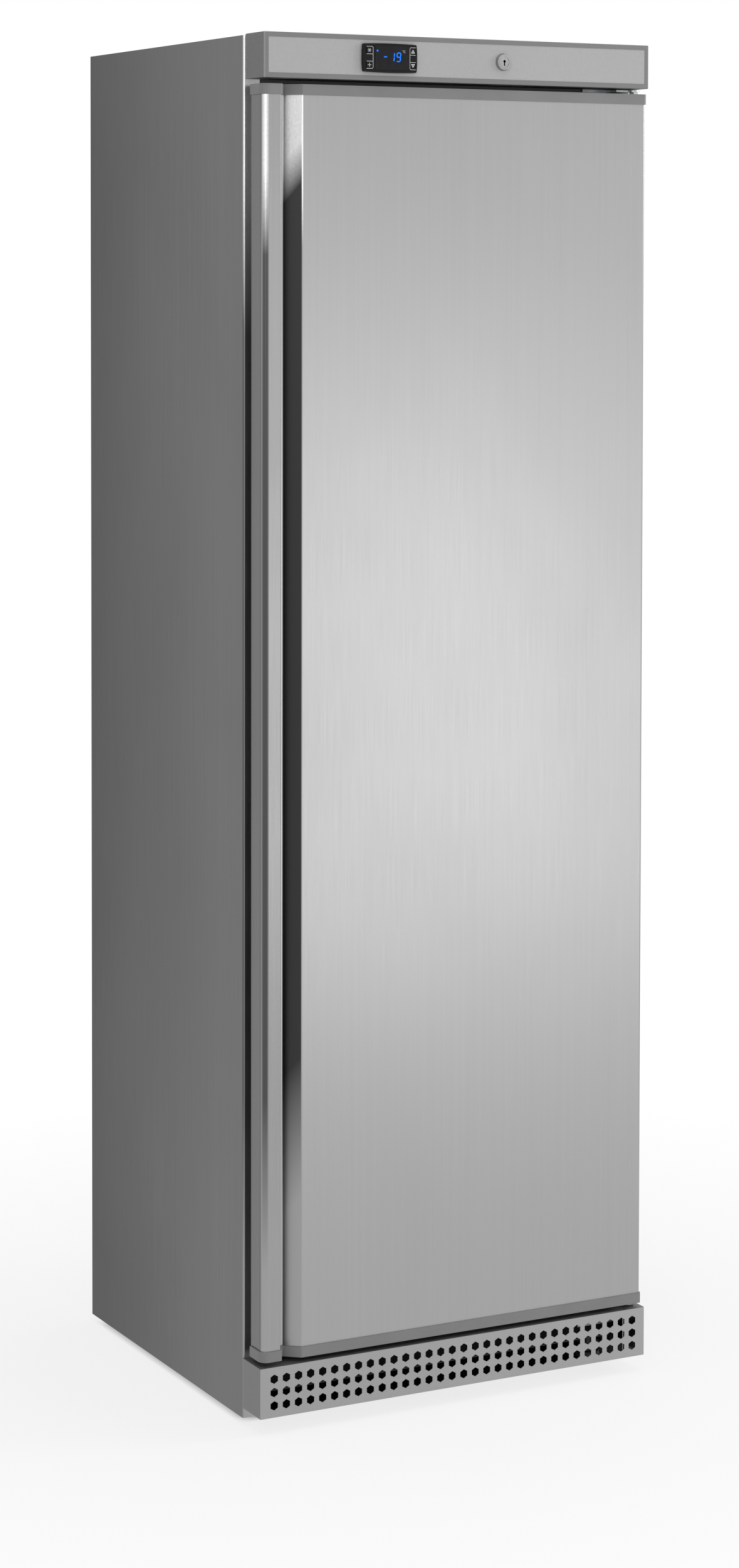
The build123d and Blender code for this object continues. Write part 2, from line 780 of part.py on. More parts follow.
# ==== Control fascia ==========================================================================
with BuildPart() as fascia_frame:
    with BuildSketch(facing_front(front_y)):
        with Locations((0, fascia_middle)):
            Rectangle(2 * fascia_half, fascia_height)
    extrude(amount=fascia_reach)
    fillet(fascia_frame.edges().filter_by(Axis.Z).group_by(Axis.Y)[0], fascia_round)
    fillet(fascia_frame.edges().group_by(Axis.Y)[0], fascia_round / 2)
    block(
        (-fascia_half + fascia_wall, fascia_half - fascia_wall),
        (inlay_back_y + fascia_wall, front_y),
        (fascia_bottom + fascia_wall, fascia_top - fascia_wall),
        mode=Mode.SUBTRACT,
    )
    block(
        (-inlay_half_width, inlay_half_width),
        (fascia_front_y, inlay_back_y),
        (fascia_middle - inlay_height / 2, fascia_middle + inlay_height / 2),
        mode=Mode.SUBTRACT,
    )
    block(
        (controller_x - controller_body_width / 2, controller_x + controller_body_width / 2),
        (fascia_front_y, inlay_back_y + 2 * fascia_wall),
        (fascia_middle - controller_body_height / 2, fascia_middle + controller_body_height / 2),
        mode=Mode.SUBTRACT,
    )
    rod((lock_x, fascia_front_y, lock_z), (0, 1, 0), lock_barrel_radius, fascia_reach / 2,
        mode=Mode.SUBTRACT)
    block(
        (lock_x - cam_width / 2 - cam_slot_gap, lock_x + cam_length),
        (cam_front_y - cam_slot_gap, cam_front_y + cam_sheet + cam_slot_gap),
        (fascia_bottom, fascia_bottom + fascia_wall),
        mode=Mode.SUBTRACT,
    )
    block(
        (hinge_foot_x - hinge_notch / 2, hinge_foot_x + hinge_notch / 2),
        (front_y - hinge_plate - running_gap, front_y),
        (fascia_bottom, fascia_bottom + fascia_wall),
        mode=Mode.SUBTRACT,
    )
save(fascia_frame.part, "fascia_frame")

with BuildPart() as fascia_inlay:
    with BuildSketch(facing_front(inlay_back_y)):
        with Locations((0, fascia_middle)):
            Rectangle(2 * inlay_half_width, inlay_height)
        with Locations((controller_x, fascia_middle)):
            Rectangle(controller_body_width, controller_body_height, mode=Mode.SUBTRACT)
        with Locations((lock_x, lock_z)):
            Circle(lock_barrel_radius, mode=Mode.SUBTRACT)
    extrude(amount=inlay_sheet)
save(fascia_inlay.part, "fascia_inlay")

key_places = {
    "key_left_upper": (controller_x - key_offset_left, fascia_middle + key_offset_z),
    "key_left_lower": (controller_x - key_offset_left, fascia_middle - key_offset_z),
    "key_up": (controller_x + key_offset_right, fascia_middle + key_offset_z),
    "key_down": (controller_x + key_offset_right, fascia_middle - key_offset_z),
}
key_pocket_depth = key_depth - key_proud + key_travel + key_gap
window_x = controller_x + window_offset

with BuildPart() as controller_housing:
    with BuildSketch(facing_front(inlay_front_y)) as bezel_outline:
        half_w = controller_width / 2
        half_h = controller_height / 2
        with BuildLine():
            for a, b in (((-1, -1), (1, -1)), ((1, -1), (1, 1)), ((1, 1), (-1, 1)), ((-1, 1), (-1, -1))):
                start = (controller_x + a[0] * (half_w - controller_bow),
                         fascia_middle + a[1] * (half_h - controller_bow))
                end = (controller_x + b[0] * (half_w - controller_bow),
                       fascia_middle + b[1] * (half_h - controller_bow))
                middle = (controller_x + (a[0] + b[0]) / 2 * half_w,
                          fascia_middle + (a[1] + b[1]) / 2 * half_h)
                ThreePointArc(start, middle, end)
        make_face()
        fillet(bezel_outline.vertices(), controller_corner)
    extrude(amount=controller_proud)
    fillet(controller_housing.edges().group_by(Axis.Y)[0], controller_corner / 2)
    block(
        (controller_x - controller_body_width / 2, controller_x + controller_body_width / 2),
        (inlay_front_y, inlay_front_y + controller_body_depth),
        (fascia_middle - controller_body_height / 2, fascia_middle + controller_body_height / 2),
    )
    block(
        (window_x - window_width / 2, window_x + window_width / 2),
        (bezel_front_y, bezel_front_y + window_depth),
        (fascia_middle - window_height / 2, fascia_middle + window_height / 2),
        mode=Mode.SUBTRACT,
    )
    for x, z in key_places.values():
        block(
            (x - key_width / 2, x + key_width / 2),
            (bezel_front_y, bezel_front_y + key_pocket_depth),
            (z - key_height / 2, z + key_height / 2),
            mode=Mode.SUBTRACT,
        )
save(controller_housing.part, "controller_housing")

with BuildPart() as display_window:
    with BuildSketch(facing_front(bezel_front_y + window_depth)):
        with Locations((window_x, fascia_middle)):
            Rectangle(window_width, window_height)
    extrude(amount=window_depth + window_proud)
    fillet(display_window.edges().group_by(Axis.Y)[0], window_proud / 2)
save(display_window.part, "display_window")


def key(x, z):
    """One controller key that slides in its pocket in the bezel."""
    with BuildPart() as cap:
        with BuildSketch(facing_front(bezel_front_y - key_proud + key_depth)):
            with Locations((x, z)):
                RectangleRounded(key_width - 2 * key_gap, key_height - 2 * key_gap, controller_corner / 2)
        extrude(amount=key_depth)
        fillet(cap.edges().group_by(Axis.Y)[0], key_proud / 2)
    return cap.part


for key_name, (x, z) in key_places.items():
    save(key(x, z), key_name)

# ==== Lock ====================================================================================
with BuildPart() as lock_housing:
    with BuildSketch(Plane.YZ.offset(lock_x)):
        with BuildLine():
            Polyline(
                (lock_front_y, lock_z + lock_plug_radius + running_fit),
                (lock_front_y, lock_z + lock_flange_front_radius),
                (inlay_front_y, lock_z + lock_flange_radius),
                (inlay_front_y, lock_z + lock_barrel_radius),
                (lock_back_y, lock_z + lock_barrel_radius),
                (lock_back_y, lock_z + lock_plug_radius + running_fit),
                close=True,
            )
        make_face()
    revolve(axis=Axis((lock_x, 0, lock_z), (0, 1, 0)))
save(lock_housing.part, "lock_housing")

spigot_length = running_gap + cam_sheet + running_gap
with BuildPart() as lock_plug:
    plug_front_y = lock_front_y + plug_sink
    rod((lock_x, plug_front_y, lock_z), (0, 1, 0), lock_plug_radius, lock_back_y - plug_front_y)
    block(
        (lock_x - lock_spigot / 2, lock_x + lock_spigot / 2),
        (lock_back_y, lock_back_y + spigot_length),
        (lock_z - lock_spigot / 2, lock_z + lock_spigot / 2),
    )
    rod((lock_x, plug_front_y, lock_z + keyhole_radius / 2), (0, 1, 0), keyhole_radius, keyhole_depth,
        mode=Mode.SUBTRACT)
    block(
        (lock_x - keyhole_slot / 2, lock_x + keyhole_slot / 2),
        (plug_front_y, plug_front_y + keyhole_depth),
        (lock_z - keyhole_drop, lock_z),
        mode=Mode.SUBTRACT,
    )
save(lock_plug.part, "lock_plug")

with BuildPart() as lock_cam:
    with BuildSketch(facing_front(cam_front_y + cam_sheet)):
        with Locations((lock_x, lock_z)):
            Circle(cam_hub_radius)
        with Locations((lock_x + cam_length / 2, lock_z)):
            Rectangle(cam_length, cam_width)
        with Locations((lock_x, lock_z)):
            Rectangle(lock_spigot, lock_spigot, mode=Mode.SUBTRACT)
    extrude(amount=cam_sheet)
    fillet(lock_cam.edges().filter_by(Axis.Y).group_by(Axis.X)[-1], cam_round)
save(lock_cam.part, "lock_cam")

with BuildPart() as lock_nut:
    nut_front_y = inlay_back_y + fascia_wall
    with BuildSketch(facing_front(nut_front_y + lock_nut_height)):
        with Locations((lock_x, lock_z)):
            RegularPolygon(lock_nut_flats / 2, 6, major_radius=False)
            Circle(lock_barrel_radius, mode=Mode.SUBTRACT)
    extrude(amount=lock_nut_height)
save(lock_nut.part, "lock_nut")


# ==== Door ====================================================================================
with BuildSketch() as door_plan:
    with BuildLine():
        Polyline(
            (door_right, door_rear_y),
            (door_right, door_face_y),
            (face_edge, door_face_y),
            (grip_floor_edge, grip_floor_y),
            (post_edge, grip_floor_y),
            (post_edge, door_rear_y),
            close=True,
        )
    make_face()
    fillet(door_plan.vertices().sort_by_distance((door_right, door_face_y))[0], door_edge_round)

# The handle's plan: a hollow post with a lip in front of the grip.
with BuildSketch() as handle_plan:
    with BuildLine():
        Polyline(
            (post_edge, door_rear_y),
            (post_edge, door_face_y + handle_lip),
            (handle_edge, door_face_y + handle_lip),
            (handle_edge, door_face_y),
            (door_left, door_face_y),
            (door_left, door_rear_y),
            close=True,
        )
    make_face()
    fillet(handle_plan.vertices().sort_by_distance((door_left, door_face_y))[0], handle_round)
    for y in (door_face_y, door_face_y + handle_lip):
        fillet(handle_plan.vertices().sort_by_distance((handle_edge, y))[0], lip_round)

with BuildSketch() as handle_hollow:
    with BuildLine():
        Polyline(
            (door_left + handle_sheet, door_rear_y - handle_sheet),
            (door_left + handle_sheet, door_face_y + handle_sheet),
            (post_edge - handle_sheet, door_face_y + handle_sheet),
            (post_edge - handle_sheet, door_rear_y - handle_sheet),
            close=True,
        )
    make_face()
    hollow_corner = (door_left + handle_sheet, door_face_y + handle_sheet)
    fillet(handle_hollow.vertices().sort_by_distance(hollow_corner)[0], handle_round - handle_sheet)

with BuildSketch() as foam_plan:
    offset(door_plan.sketch, amount=-door_sheet, kind=Kind.INTERSECTION)

# The caps follow the steel outline with a small overhang, and end flush at the back.
with BuildSketch() as cap_plan:
    offset(door_plan.sketch, amount=cap_proud, kind=Kind.ARC)
    add(offset(handle_plan.sketch, amount=cap_proud, kind=Kind.ARC, mode=Mode.PRIVATE))
    with Locations((0, door_rear_y + cap_proud)):
        Rectangle(cabinet_width, 2 * cap_proud, mode=Mode.SUBTRACT)

with BuildPart() as door_skin:
    with BuildSketch(level(door_steel_bottom)):
        add(door_plan.sketch)
        add(foam_plan.sketch, mode=Mode.SUBTRACT)
        with Locations(((post_edge + door_right) / 2, door_rear_y - door_sheet / 2)):
            Rectangle(door_right - post_edge - 2 * door_sheet, door_sheet, mode=Mode.SUBTRACT)
    extrude(amount=door_steel_height)
save(door_skin.part, "door_skin")

with BuildPart() as door_handle:
    with BuildSketch(level(door_steel_bottom)):
        add(handle_plan.sketch)
        add(handle_hollow.sketch, mode=Mode.SUBTRACT)
    extrude(amount=door_steel_height)
save(door_handle.part, "door_handle")

bulge_half = inner_half - bulge_gap
bulge_bottom = opening_bottom + bulge_gap
bulge_top = opening_top - bulge_gap
bulge_back_y = front_y + bulge_depth
panel_front_y = door_rear_y - panel_sheet
foam_left = post_edge + door_sheet
foam_right = door_right - door_sheet

with BuildPart() as door_inner_panel:
    block((foam_left, foam_right), (panel_front_y, door_rear_y), (door_steel_bottom, door_steel_top))
    block((-bulge_half, bulge_half), (door_rear_y, bulge_back_y), (bulge_bottom, bulge_top))
    rounded = door_inner_panel.edges().group_by(Axis.Y)[-1]
    fillet(rounded, bulge_round)
    block(
        (-bulge_half + panel_sheet, bulge_half - panel_sheet),
        (panel_front_y, bulge_back_y - panel_sheet),
        (bulge_bottom + panel_sheet, bulge_top - panel_sheet),
        mode=Mode.SUBTRACT,
    )
save(door_inner_panel.part, "door_inner_panel")

lock_slot_x = (lock_x - cam_width / 2 - cam_slot_gap, lock_x + lock_slot_reach)
lock_slot_y = (cam_front_y - cam_slot_gap, cam_front_y + cam_sheet + cam_slot_gap)
lock_slot_bottom = lock_z - cam_length - cam_slot_gap

with BuildPart() as door_foam:
    with BuildSketch(level(door_steel_bottom)):
        add(foam_plan.sketch)
        with Locations(((post_edge + door_right) / 2, door_rear_y)):
            Rectangle(door_right - post_edge, 2 * panel_sheet, mode=Mode.SUBTRACT)
    extrude(amount=door_steel_height)
    block(
        (-bulge_half + panel_sheet, bulge_half - panel_sheet),
        (panel_front_y, bulge_back_y - panel_sheet),
        (bulge_bottom + panel_sheet, bulge_top - panel_sheet),
    )
    rod((hinge_x, hinge_y, door_steel_top), (0, 0, -1), bush_radius, hinge_pin_length,
        mode=Mode.SUBTRACT)
    rod((hinge_x, hinge_y, door_steel_bottom), (0, 0, 1), bush_radius, hinge_pin_length,
        mode=Mode.SUBTRACT)
    block(lock_slot_x, lock_slot_y, (lock_slot_bottom, door_steel_top), mode=Mode.SUBTRACT)
save(door_foam.part, "door_foam")


def end_cap(outer_z, inward):
    """A moulded cap over one end of the door and its handle."""
    skirt_z = outer_z + inward * cap_height
    low = min(outer_z, skirt_z)
    seat_low = min(outer_z + inward * cap_plate, skirt_z)
    with BuildPart() as cap:
        with BuildSketch(level(low)):
            add(cap_plan.sketch)
        extrude(amount=cap_height)
        with BuildSketch(level(seat_low)):
            add(door_plan.sketch)
            add(handle_plan.sketch)
        extrude(amount=cap_height - cap_plate, mode=Mode.SUBTRACT)
        rod((hinge_x, hinge_y, outer_z), (0, 0, inward), bush_radius, cap_plate, mode=Mode.SUBTRACT)
    return cap.part


plain_top_cap = end_cap(door_top, -1)
save(end_cap(door_bottom, 1), "door_bottom_cap")

with BuildPart() as door_top_cap:
    add(plain_top_cap)
    block(lock_slot_x, lock_slot_y, (door_steel_top, door_top), mode=Mode.SUBTRACT)
save(door_top_cap.part, "door_top_cap")

with BuildPart() as hinge_bushes:
    for end_z, inward in ((door_top, -1), (door_bottom, 1)):
        rod((hinge_x, hinge_y, end_z), (0, 0, inward), bush_radius, cap_plate + hinge_pin_length)
        rod((hinge_x, hinge_y, end_z), (0, 0, inward), hinge_pin_radius + running_fit,
            cap_plate + hinge_pin_length, mode=Mode.SUBTRACT)
save(hinge_bushes.part, "hinge_bushes")

with BuildPart() as door_gasket:
    gasket_middle = (gasket_top + gasket_bottom) / 2
    base_inset = (gasket_width - gasket_base_width) / 2
    for start_y, inset, depth in (
        (door_rear_y + gasket_base_depth, base_inset, gasket_base_depth),
        (front_y - running_gap, 0, door_seal_space - gasket_base_depth - running_gap),
    ):
        outer_width = 2 * (gasket_half - inset)
        outer_height = gasket_top - gasket_bottom - 2 * inset
        band = gasket_width - 2 * inset
        with BuildSketch(facing_front(start_y)):
            with Locations((0, gasket_middle)):
                Rectangle(outer_width, outer_height)
                Rectangle(outer_width - 2 * band, outer_height - 2 * band, mode=Mode.SUBTRACT)
        extrude(amount=depth)
    fillet(door_gasket.edges().group_by(Axis.Y)[-1], gasket_base_depth / 3)
save(door_gasket.part, "door_gasket")


# ==== Hinges ==================================================================================
def hinge_bracket(plate_z, foot_way):
    """A hinge plate over or under the door, with its foot screwed to the cabinet's front."""
    plate_low = plate_z - hinge_plate if foot_way > 0 else plate_z
    foot_low = plate_low if foot_way > 0 else plate_low + hinge_plate - hinge_foot_height
    with BuildPart() as bracket:
        block(
            (hinge_foot_x - hinge_foot_width / 2, hinge_foot_x + hinge_foot_width / 2),
            (front_y - hinge_plate, front_y),
            (foot_low, foot_low + hinge_foot_height),
        )
        with BuildSketch(level(plate_low)) as arm:
            arm_left = hinge_x - hinge_plate_width + hinge_nose
            with Locations(((arm_left + hinge_x) / 2, (front_y + hinge_y) / 2)):
                Rectangle(hinge_x - arm_left, front_y - hinge_y)
            with Locations(((arm_left + hinge_x + hinge_nose) / 2, (front_y + hinge_y) / 2)):
                Rectangle(hinge_x + hinge_nose - arm_left, front_y - hinge_y)
            with Locations((hinge_x, hinge_y)):
                Circle(hinge_nose)
        extrude(amount=hinge_plate)
        rod((hinge_x, hinge_y, plate_low), (0, 0, 1), hinge_pin_radius, hinge_plate, mode=Mode.SUBTRACT)
        screw_z = foot_low + hinge_foot_height / 2
        for side in (-1, 1):
            rod((hinge_foot_x + side * hinge_screw_spacing, front_y - hinge_plate, screw_z), (0, 1, 0),
                hinge_screw_radius, hinge_plate, mode=Mode.SUBTRACT)
    return bracket.part


def hinge_pin(plate_z, toward_door):
    """A hinge pin with its hexagonal collar under the bracket's plate."""
    collar_height = abs(plate_z - (door_top if toward_door < 0 else door_bottom)) - hinge_plate - collar_gap
    with BuildPart() as pin:
        rod((hinge_x, hinge_y, plate_z), (0, 0, toward_door), hinge_pin_radius,
            hinge_plate + collar_height + hinge_pin_length)
        collar_start = plate_z + toward_door * hinge_plate
        with BuildSketch(level(min(collar_start, collar_start + toward_door * collar_height))):
            with Locations((hinge_x, hinge_y)):
                RegularPolygon(hinge_collar_flats / 2, 6, major_radius=False)
        extrude(amount=collar_height)
    return pin.part


save(hinge_bracket(hinge_top_plate_z, 1), "top_hinge_bracket")
save(hinge_bracket(hinge_low_plate_z, -1), "bottom_hinge_bracket")
save(hinge_pin(hinge_top_plate_z, -1), "top_hinge_pin")
save(hinge_pin(hinge_low_plate_z, 1), "bottom_hinge_pin")

# ==== Kick grille =============================================================================
with BuildPart() as kick_grille:
    block((-half_width, half_width), (grille_front_y, front_y), (grille_bottom, grille_top))
    upright = kick_grille.edges().filter_by(Axis.Z).group_by(Axis.Y)[0]
    fillet(upright, fold_radius / 2)
    block(
        (-half_width + grille_sheet, half_width - grille_sheet),
        (grille_front_y + grille_sheet, front_y),
        (grille_bottom + grille_sheet, grille_top - grille_sheet),
        mode=Mode.SUBTRACT,
    )
    block(
        (-half_width + grille_sheet, half_width - grille_sheet),
        (grille_front_y + grille_fold, front_y),
        (grille_bottom, grille_bottom + grille_sheet),
        mode=Mode.SUBTRACT,
    )
    block(
        (hinge_foot_x - hinge_notch / 2, hinge_foot_x + hinge_notch / 2),
        (front_y - hinge_plate - running_gap, front_y),
        (grille_top - grille_sheet, grille_top),
        mode=Mode.SUBTRACT,
    )
    with BuildSketch(facing_front(grille_front_y + grille_sheet)):
        with Locations((0, (grille_bottom + grille_top) / 2)):
            with GridLocations(hex_pitch, hex_row_pitch, hex_columns, hex_rows):
                RegularPolygon(hex_flats / 2, 6, major_radius=False, rotation=30)
    extrude(amount=grille_sheet, mode=Mode.SUBTRACT)
save(kick_grille.part, "kick_grille")

# ==== Compressor ==============================================================================
with BuildPart() as compressor:
    with BuildSketch(level(compressor_floor_z)):
        with Locations((compressor_x, compressor_y)):
            Ellipse(compressor_length / 2, compressor_width / 2)
    extrude(amount=compressor_height)
    fillet(compressor.edges().group_by(Axis.Z)[-1], compressor_round)
    with BuildSketch(level(compressor_floor_z + compressor_seam_rise)):
        with Locations((compressor_x, compressor_y)):
            Ellipse(compressor_length / 2 + compressor_seam, compressor_width / 2 + compressor_seam)
    extrude(amount=compressor_seam_height)
    rod((compressor_x, compressor_y, suction_rise), (1, 0, 0), evaporator_tube_radius + stub_wall,
        compressor_length / 2 + stub_reach)
    rod((discharge_x, compressor_y, condenser_high_z), (0, -1, 0), pipe_radius + stub_wall,
        compressor_width / 2 + stub_reach)
    with BuildSketch(level(compressor_base_z)):
        with Locations((compressor_x, compressor_y)):
            Rectangle(compressor_base_length, compressor_base_width)
            with GridLocations(mount_spacing_x, mount_spacing_y, 2, 2):
                Circle(mount_bolt_radius, mode=Mode.SUBTRACT)
    extrude(amount=compressor_base_sheet)
save(compressor.part, "compressor")

mount_places = [
    (compressor_x + side_x * mount_spacing_x / 2, compressor_y + side_y * mount_spacing_y / 2)
    for side_x in (-1, 1)
    for side_y in (-1, 1)
]
with BuildPart() as compressor_grommets:
    for x, y in mount_places:
        rod((x, y, frame_height), (0, 0, 1), grommet_radius, grommet_height)
        rod((x, y, frame_height), (0, 0, 1), mount_bolt_radius, grommet_height, mode=Mode.SUBTRACT)
save(compressor_grommets.part, "compressor_grommets")

with BuildPart() as compressor_bolts:
    for x, y in mount_places:
        rod((x, y, frame_height), (0, 0, 1), mount_bolt_radius,
            grommet_height + compressor_base_sheet + mount_bolt_head_height)
        rod((x, y, compressor_floor_z), (0, 0, 1), mount_bolt_head_radius, mount_bolt_head_height)
save(compressor_bolts.part, "compressor_bolts")

relay_back_y = compressor_y - compressor_width / 2 - compressor_seam
relay_z = compressor_floor_z + compressor_height / 2
with BuildPart() as relay_box:
    block(
        (compressor_x - relay_width / 2, compressor_x + relay_width / 2),
        (relay_back_y - relay_depth, relay_back_y),
        (relay_z - relay_height / 2, relay_z + relay_height / 2),
    )
    fillet(relay_box.edges().group_by(Axis.Y)[0], fold_radius)
save(relay_box.part, "relay_box")

# ==== Condenser and fan =======================================================================
coil_levels = [condenser_low_z + number * condenser_pitch for number in range(condenser_runs)]
coil_margin = end_plate_sheet
coil_points = []
for number, z in enumerate(coil_levels):
    near_y = condenser_front_y - coil_margin
    far_y = condenser_back_y + coil_margin + condenser_bend
    bend_y = condenser_front_y - coil_margin - condenser_bend
    first = near_y if number == 0 else bend_y
    last = near_y if number == condenser_runs - 1 else bend_y
    ends = (first, far_y) if number % 2 == 0 else (far_y, last)
    coil_points.extend((condenser_x, y, z) for y in ends)

condenser_coil = bent_tube(coil_points, condenser_bend, condenser_tube_radius)

# The fins sit on the coil as a stack of bored sheets.
with BuildPart() as condenser:
    fin_gap = condenser_length / (fin_count - 1)
    for number in range(fin_count):
        sheet = end_plate_sheet if number in (0, fin_count - 1) else fin_sheet
        with BuildSketch(facing_front(condenser_front_y + number * fin_gap + sheet / 2)):
            with Locations((condenser_x, frame_height + condenser_height / 2)):
                Rectangle(condenser_thickness, condenser_height)
            with Locations([(condenser_x, z) for z in coil_levels]):
                Circle(condenser_tube_radius, mode=Mode.SUBTRACT)
        extrude(amount=sheet)
    add(condenser_coil)
save(condenser.part, "condenser")

with BuildPart() as fan_shroud:
    with BuildSketch(facing_side(shroud_x)):
        with Locations((condenser_y, fan_z)):
            Rectangle(shroud_width, shroud_height)
            Circle(shroud_hole_radius, mode=Mode.SUBTRACT)
    extrude(amount=shroud_sheet)
save(fan_shroud.part, "fan_shroud")

shaft_start = motor_x - fan_shaft_length
with BuildPart() as fan_motor:
    rod((motor_x, condenser_y, fan_z), (1, 0, 0), motor_radius, motor_length)
    fillet(fan_motor.edges().group_by(Axis.X)[-1], motor_radius / 5)
    rod((shaft_start, condenser_y, fan_z), (1, 0, 0), fan_shaft_radius, fan_shaft_length)
    arm_tip = shroud_hole_radius + motor_arm_width / 2
    arm_x = motor_x + motor_length / 4
    for side in (-1, 1):
        tip_y = condenser_y + side * arm_tip
        block(
            (arm_x, arm_x + motor_arm_sheet),
            (min(condenser_y, tip_y), max(condenser_y, tip_y)),
            (fan_z - motor_arm_width / 2, fan_z + motor_arm_width / 2),
        )
        block(
            (shroud_x + shroud_sheet, arm_x + motor_arm_sheet),
            (tip_y - motor_arm_sheet / 2, tip_y + motor_arm_sheet / 2),
            (fan_z - motor_arm_width / 2, fan_z + motor_arm_width / 2),
        )
save(fan_motor.part, "fan_motor")

hub_x = motor_x - motor_gap - fan_hub_length
with BuildPart() as fan_blade:
    rod((hub_x, condenser_y, fan_z), (1, 0, 0), fan_hub_radius, fan_hub_length)
    blade_root = fan_hub_radius - fan_blade_bite
    with Locations(Plane(origin=(hub_x + fan_hub_length / 2, condenser_y, fan_z), z_dir=(1, 0, 0)).location):
        with PolarLocations((blade_root + fan_radius) / 2, fan_blades):
            Box(fan_radius - blade_root, fan_blade_chord, fan_blade_sheet, rotation=(fan_blade_pitch, 0, 0))
    rod((hub_x, condenser_y, fan_z), (1, 0, 0), fan_shaft_radius + running_fit, fan_hub_length,
        mode=Mode.SUBTRACT)
save(fan_blade.part, "fan_blade")

# ==== Pipes and wiring ========================================================================
drier_start_x = condenser_x + condenser_thickness
drier_z = condenser_low_z
drier_inlet = bent_tube(
    (
        (condenser_x, condenser_front_y - coil_margin, drier_z),
        (condenser_x, lane_y, drier_z),
        (drier_start_x, lane_y, drier_z),
    ),
    pipe_bend,
    pipe_radius,
)
with BuildPart() as filter_drier:
    rod((drier_start_x, lane_y, drier_z), (1, 0, 0), pipe_radius, drier_neck)
    rod((drier_start_x + drier_neck, lane_y, drier_z), (1, 0, 0), drier_radius, drier_length)
    fillet(filter_drier.edges().filter_by(GeomType.CIRCLE).filter_by(
        lambda edge: edge.radius > pipe_radius + 1), drier_radius / 3)
    add(drier_inlet)
save(filter_drier.part, "filter_drier")

discharge_z = condenser_high_z
discharge_start_y = compressor_y - compressor_width / 2 - stub_reach
discharge_route = (
    (discharge_x, discharge_start_y, discharge_z),
    (discharge_x, lane_y, discharge_z),
    (condenser_x, lane_y, discharge_z),
    (condenser_x, condenser_front_y - coil_margin, discharge_z),
)
save(bent_tube(discharge_route, pipe_bend, pipe_radius), "discharge_pipe")

suction_start_x = compressor_x + compressor_length / 2 + stub_reach
suction_route = (
    (suction_start_x, compressor_y, suction_rise),
    (riser_x, compressor_y, suction_rise),
    (riser_x, compressor_y, first_shelf_z),
    (shelf_half, compressor_y, first_shelf_z),
)
save(bent_tube(suction_route, riser_bend, evaporator_tube_radius), "suction_pipe")

drier_end_x = drier_start_x + drier_neck + drier_length
capillary_route = (
    (drier_end_x, lane_y, drier_z),
    (riser_x, lane_y, drier_z),
    (riser_x, capillary_y, drier_z),
    (riser_x, capillary_y, top_shelf_z),
    (riser_x, shelf_rear_y, top_shelf_z),
    (shelf_half, shelf_rear_y, top_shelf_z),
)
save(bent_tube(capillary_route, capillary_bend, capillary_radius), "capillary_tube")

relay_top_z = relay_z + relay_height / 2
relay_entry_y = relay_back_y - relay_depth / 2
loom_run_z = (relay_top_z + machine_roof) / 2
wiring_route = (
    (controller_x, inlay_front_y + controller_body_depth, fascia_middle),
    (controller_x, rear_face_y - loom_lane, fascia_middle),
    (controller_x, rear_face_y - loom_lane, loom_run_z),
    (compressor_x - compressor_length / 2 - loom_bend, relay_entry_y, loom_run_z),
    (compressor_x, relay_entry_y, loom_run_z),
    (compressor_x, relay_entry_y, relay_top_z),
)
save(bent_tube(wiring_route, loom_bend, loom_radius), "wiring_loom")

# ==== Rear cover, gland, spacers and screws ===================================================
screw_levels = (cover_bottom + cover_screw_margin, machine_roof - cover_screw_margin)
with BuildPart() as rear_cover:
    cover_half = inside_x - inner_fold_radius
    with BuildSketch(facing_front(back_y - steel)):
        with Locations((0, cover_middle_z)):
            Rectangle(2 * cover_half, machine_roof - cover_bottom)
            with GridLocations(cover_slot_pitch_x, cover_slot_pitch_z, cover_slot_columns, cover_slot_rows):
                SlotOverall(cover_slot_width, cover_slot_height, mode=Mode.SUBTRACT)
        with Locations((gland_x, gland_height)):
            Circle(gland_radius, mode=Mode.SUBTRACT)
    extrude(amount=steel)
    for side in (-1, 1):
        for z in screw_levels:
            rod((side * cover_screw_x, rear_face_y, z), (0, 1, 0), cover_screw_radius, steel,
                mode=Mode.SUBTRACT)
save(rear_cover.part, "rear_cover")

with BuildPart() as cable_gland:
    rod((gland_x, back_y - steel, gland_height), (0, 1, 0), gland_flange_radius, gland_radius / 3)
    rod((gland_x, back_y - steel, gland_height), (0, -1, 0), gland_radius, gland_length)
    fillet(cable_gland.edges().group_by(Axis.Y)[-1], gland_radius / 9)
    rod((gland_x, back_y - gland_length - 2 * steel, gland_height), (0, 1, 0), gland_bore_radius,
        2 * gland_length, mode=Mode.SUBTRACT)
save(cable_gland.part, "cable_gland")

with BuildPart() as wall_spacers:
    for side in (-1, 1):
        rod((side * spacer_x, back_y - steel, panel_top - spacer_drop), (0, 1, 0), spacer_radius,
            spacer_reach + steel)
    fillet(wall_spacers.edges().group_by(Axis.Y)[-1], spacer_radius / 6)
save(wall_spacers.part, "wall_spacers")

with BuildPart() as screws:
    for side in (-1, 1):
        for z in screw_levels:
            rod((side * cover_screw_x, back_y - steel, z), (0, 1, 0), cover_screw_head_radius,
                cover_screw_head_height)
            rod((side * cover_screw_x, back_y - steel, z), (0, -1, 0), cover_screw_radius,
                cover_screw_length)
    top_foot_z = hinge_top_plate_z - hinge_plate + hinge_foot_height / 2
    low_foot_z = hinge_low_plate_z + hinge_plate - hinge_foot_height / 2
    for z in (top_foot_z, low_foot_z):
        for side in (-1, 1):
            x = hinge_foot_x + side * hinge_screw_spacing
            rod((x, front_y - hinge_plate, z), (0, -1, 0), hinge_screw_head, hinge_screw_head_height)
            rod((x, front_y - hinge_plate, z), (0, 1, 0), hinge_screw_radius, hinge_plate)
save(screws.part, "screws")
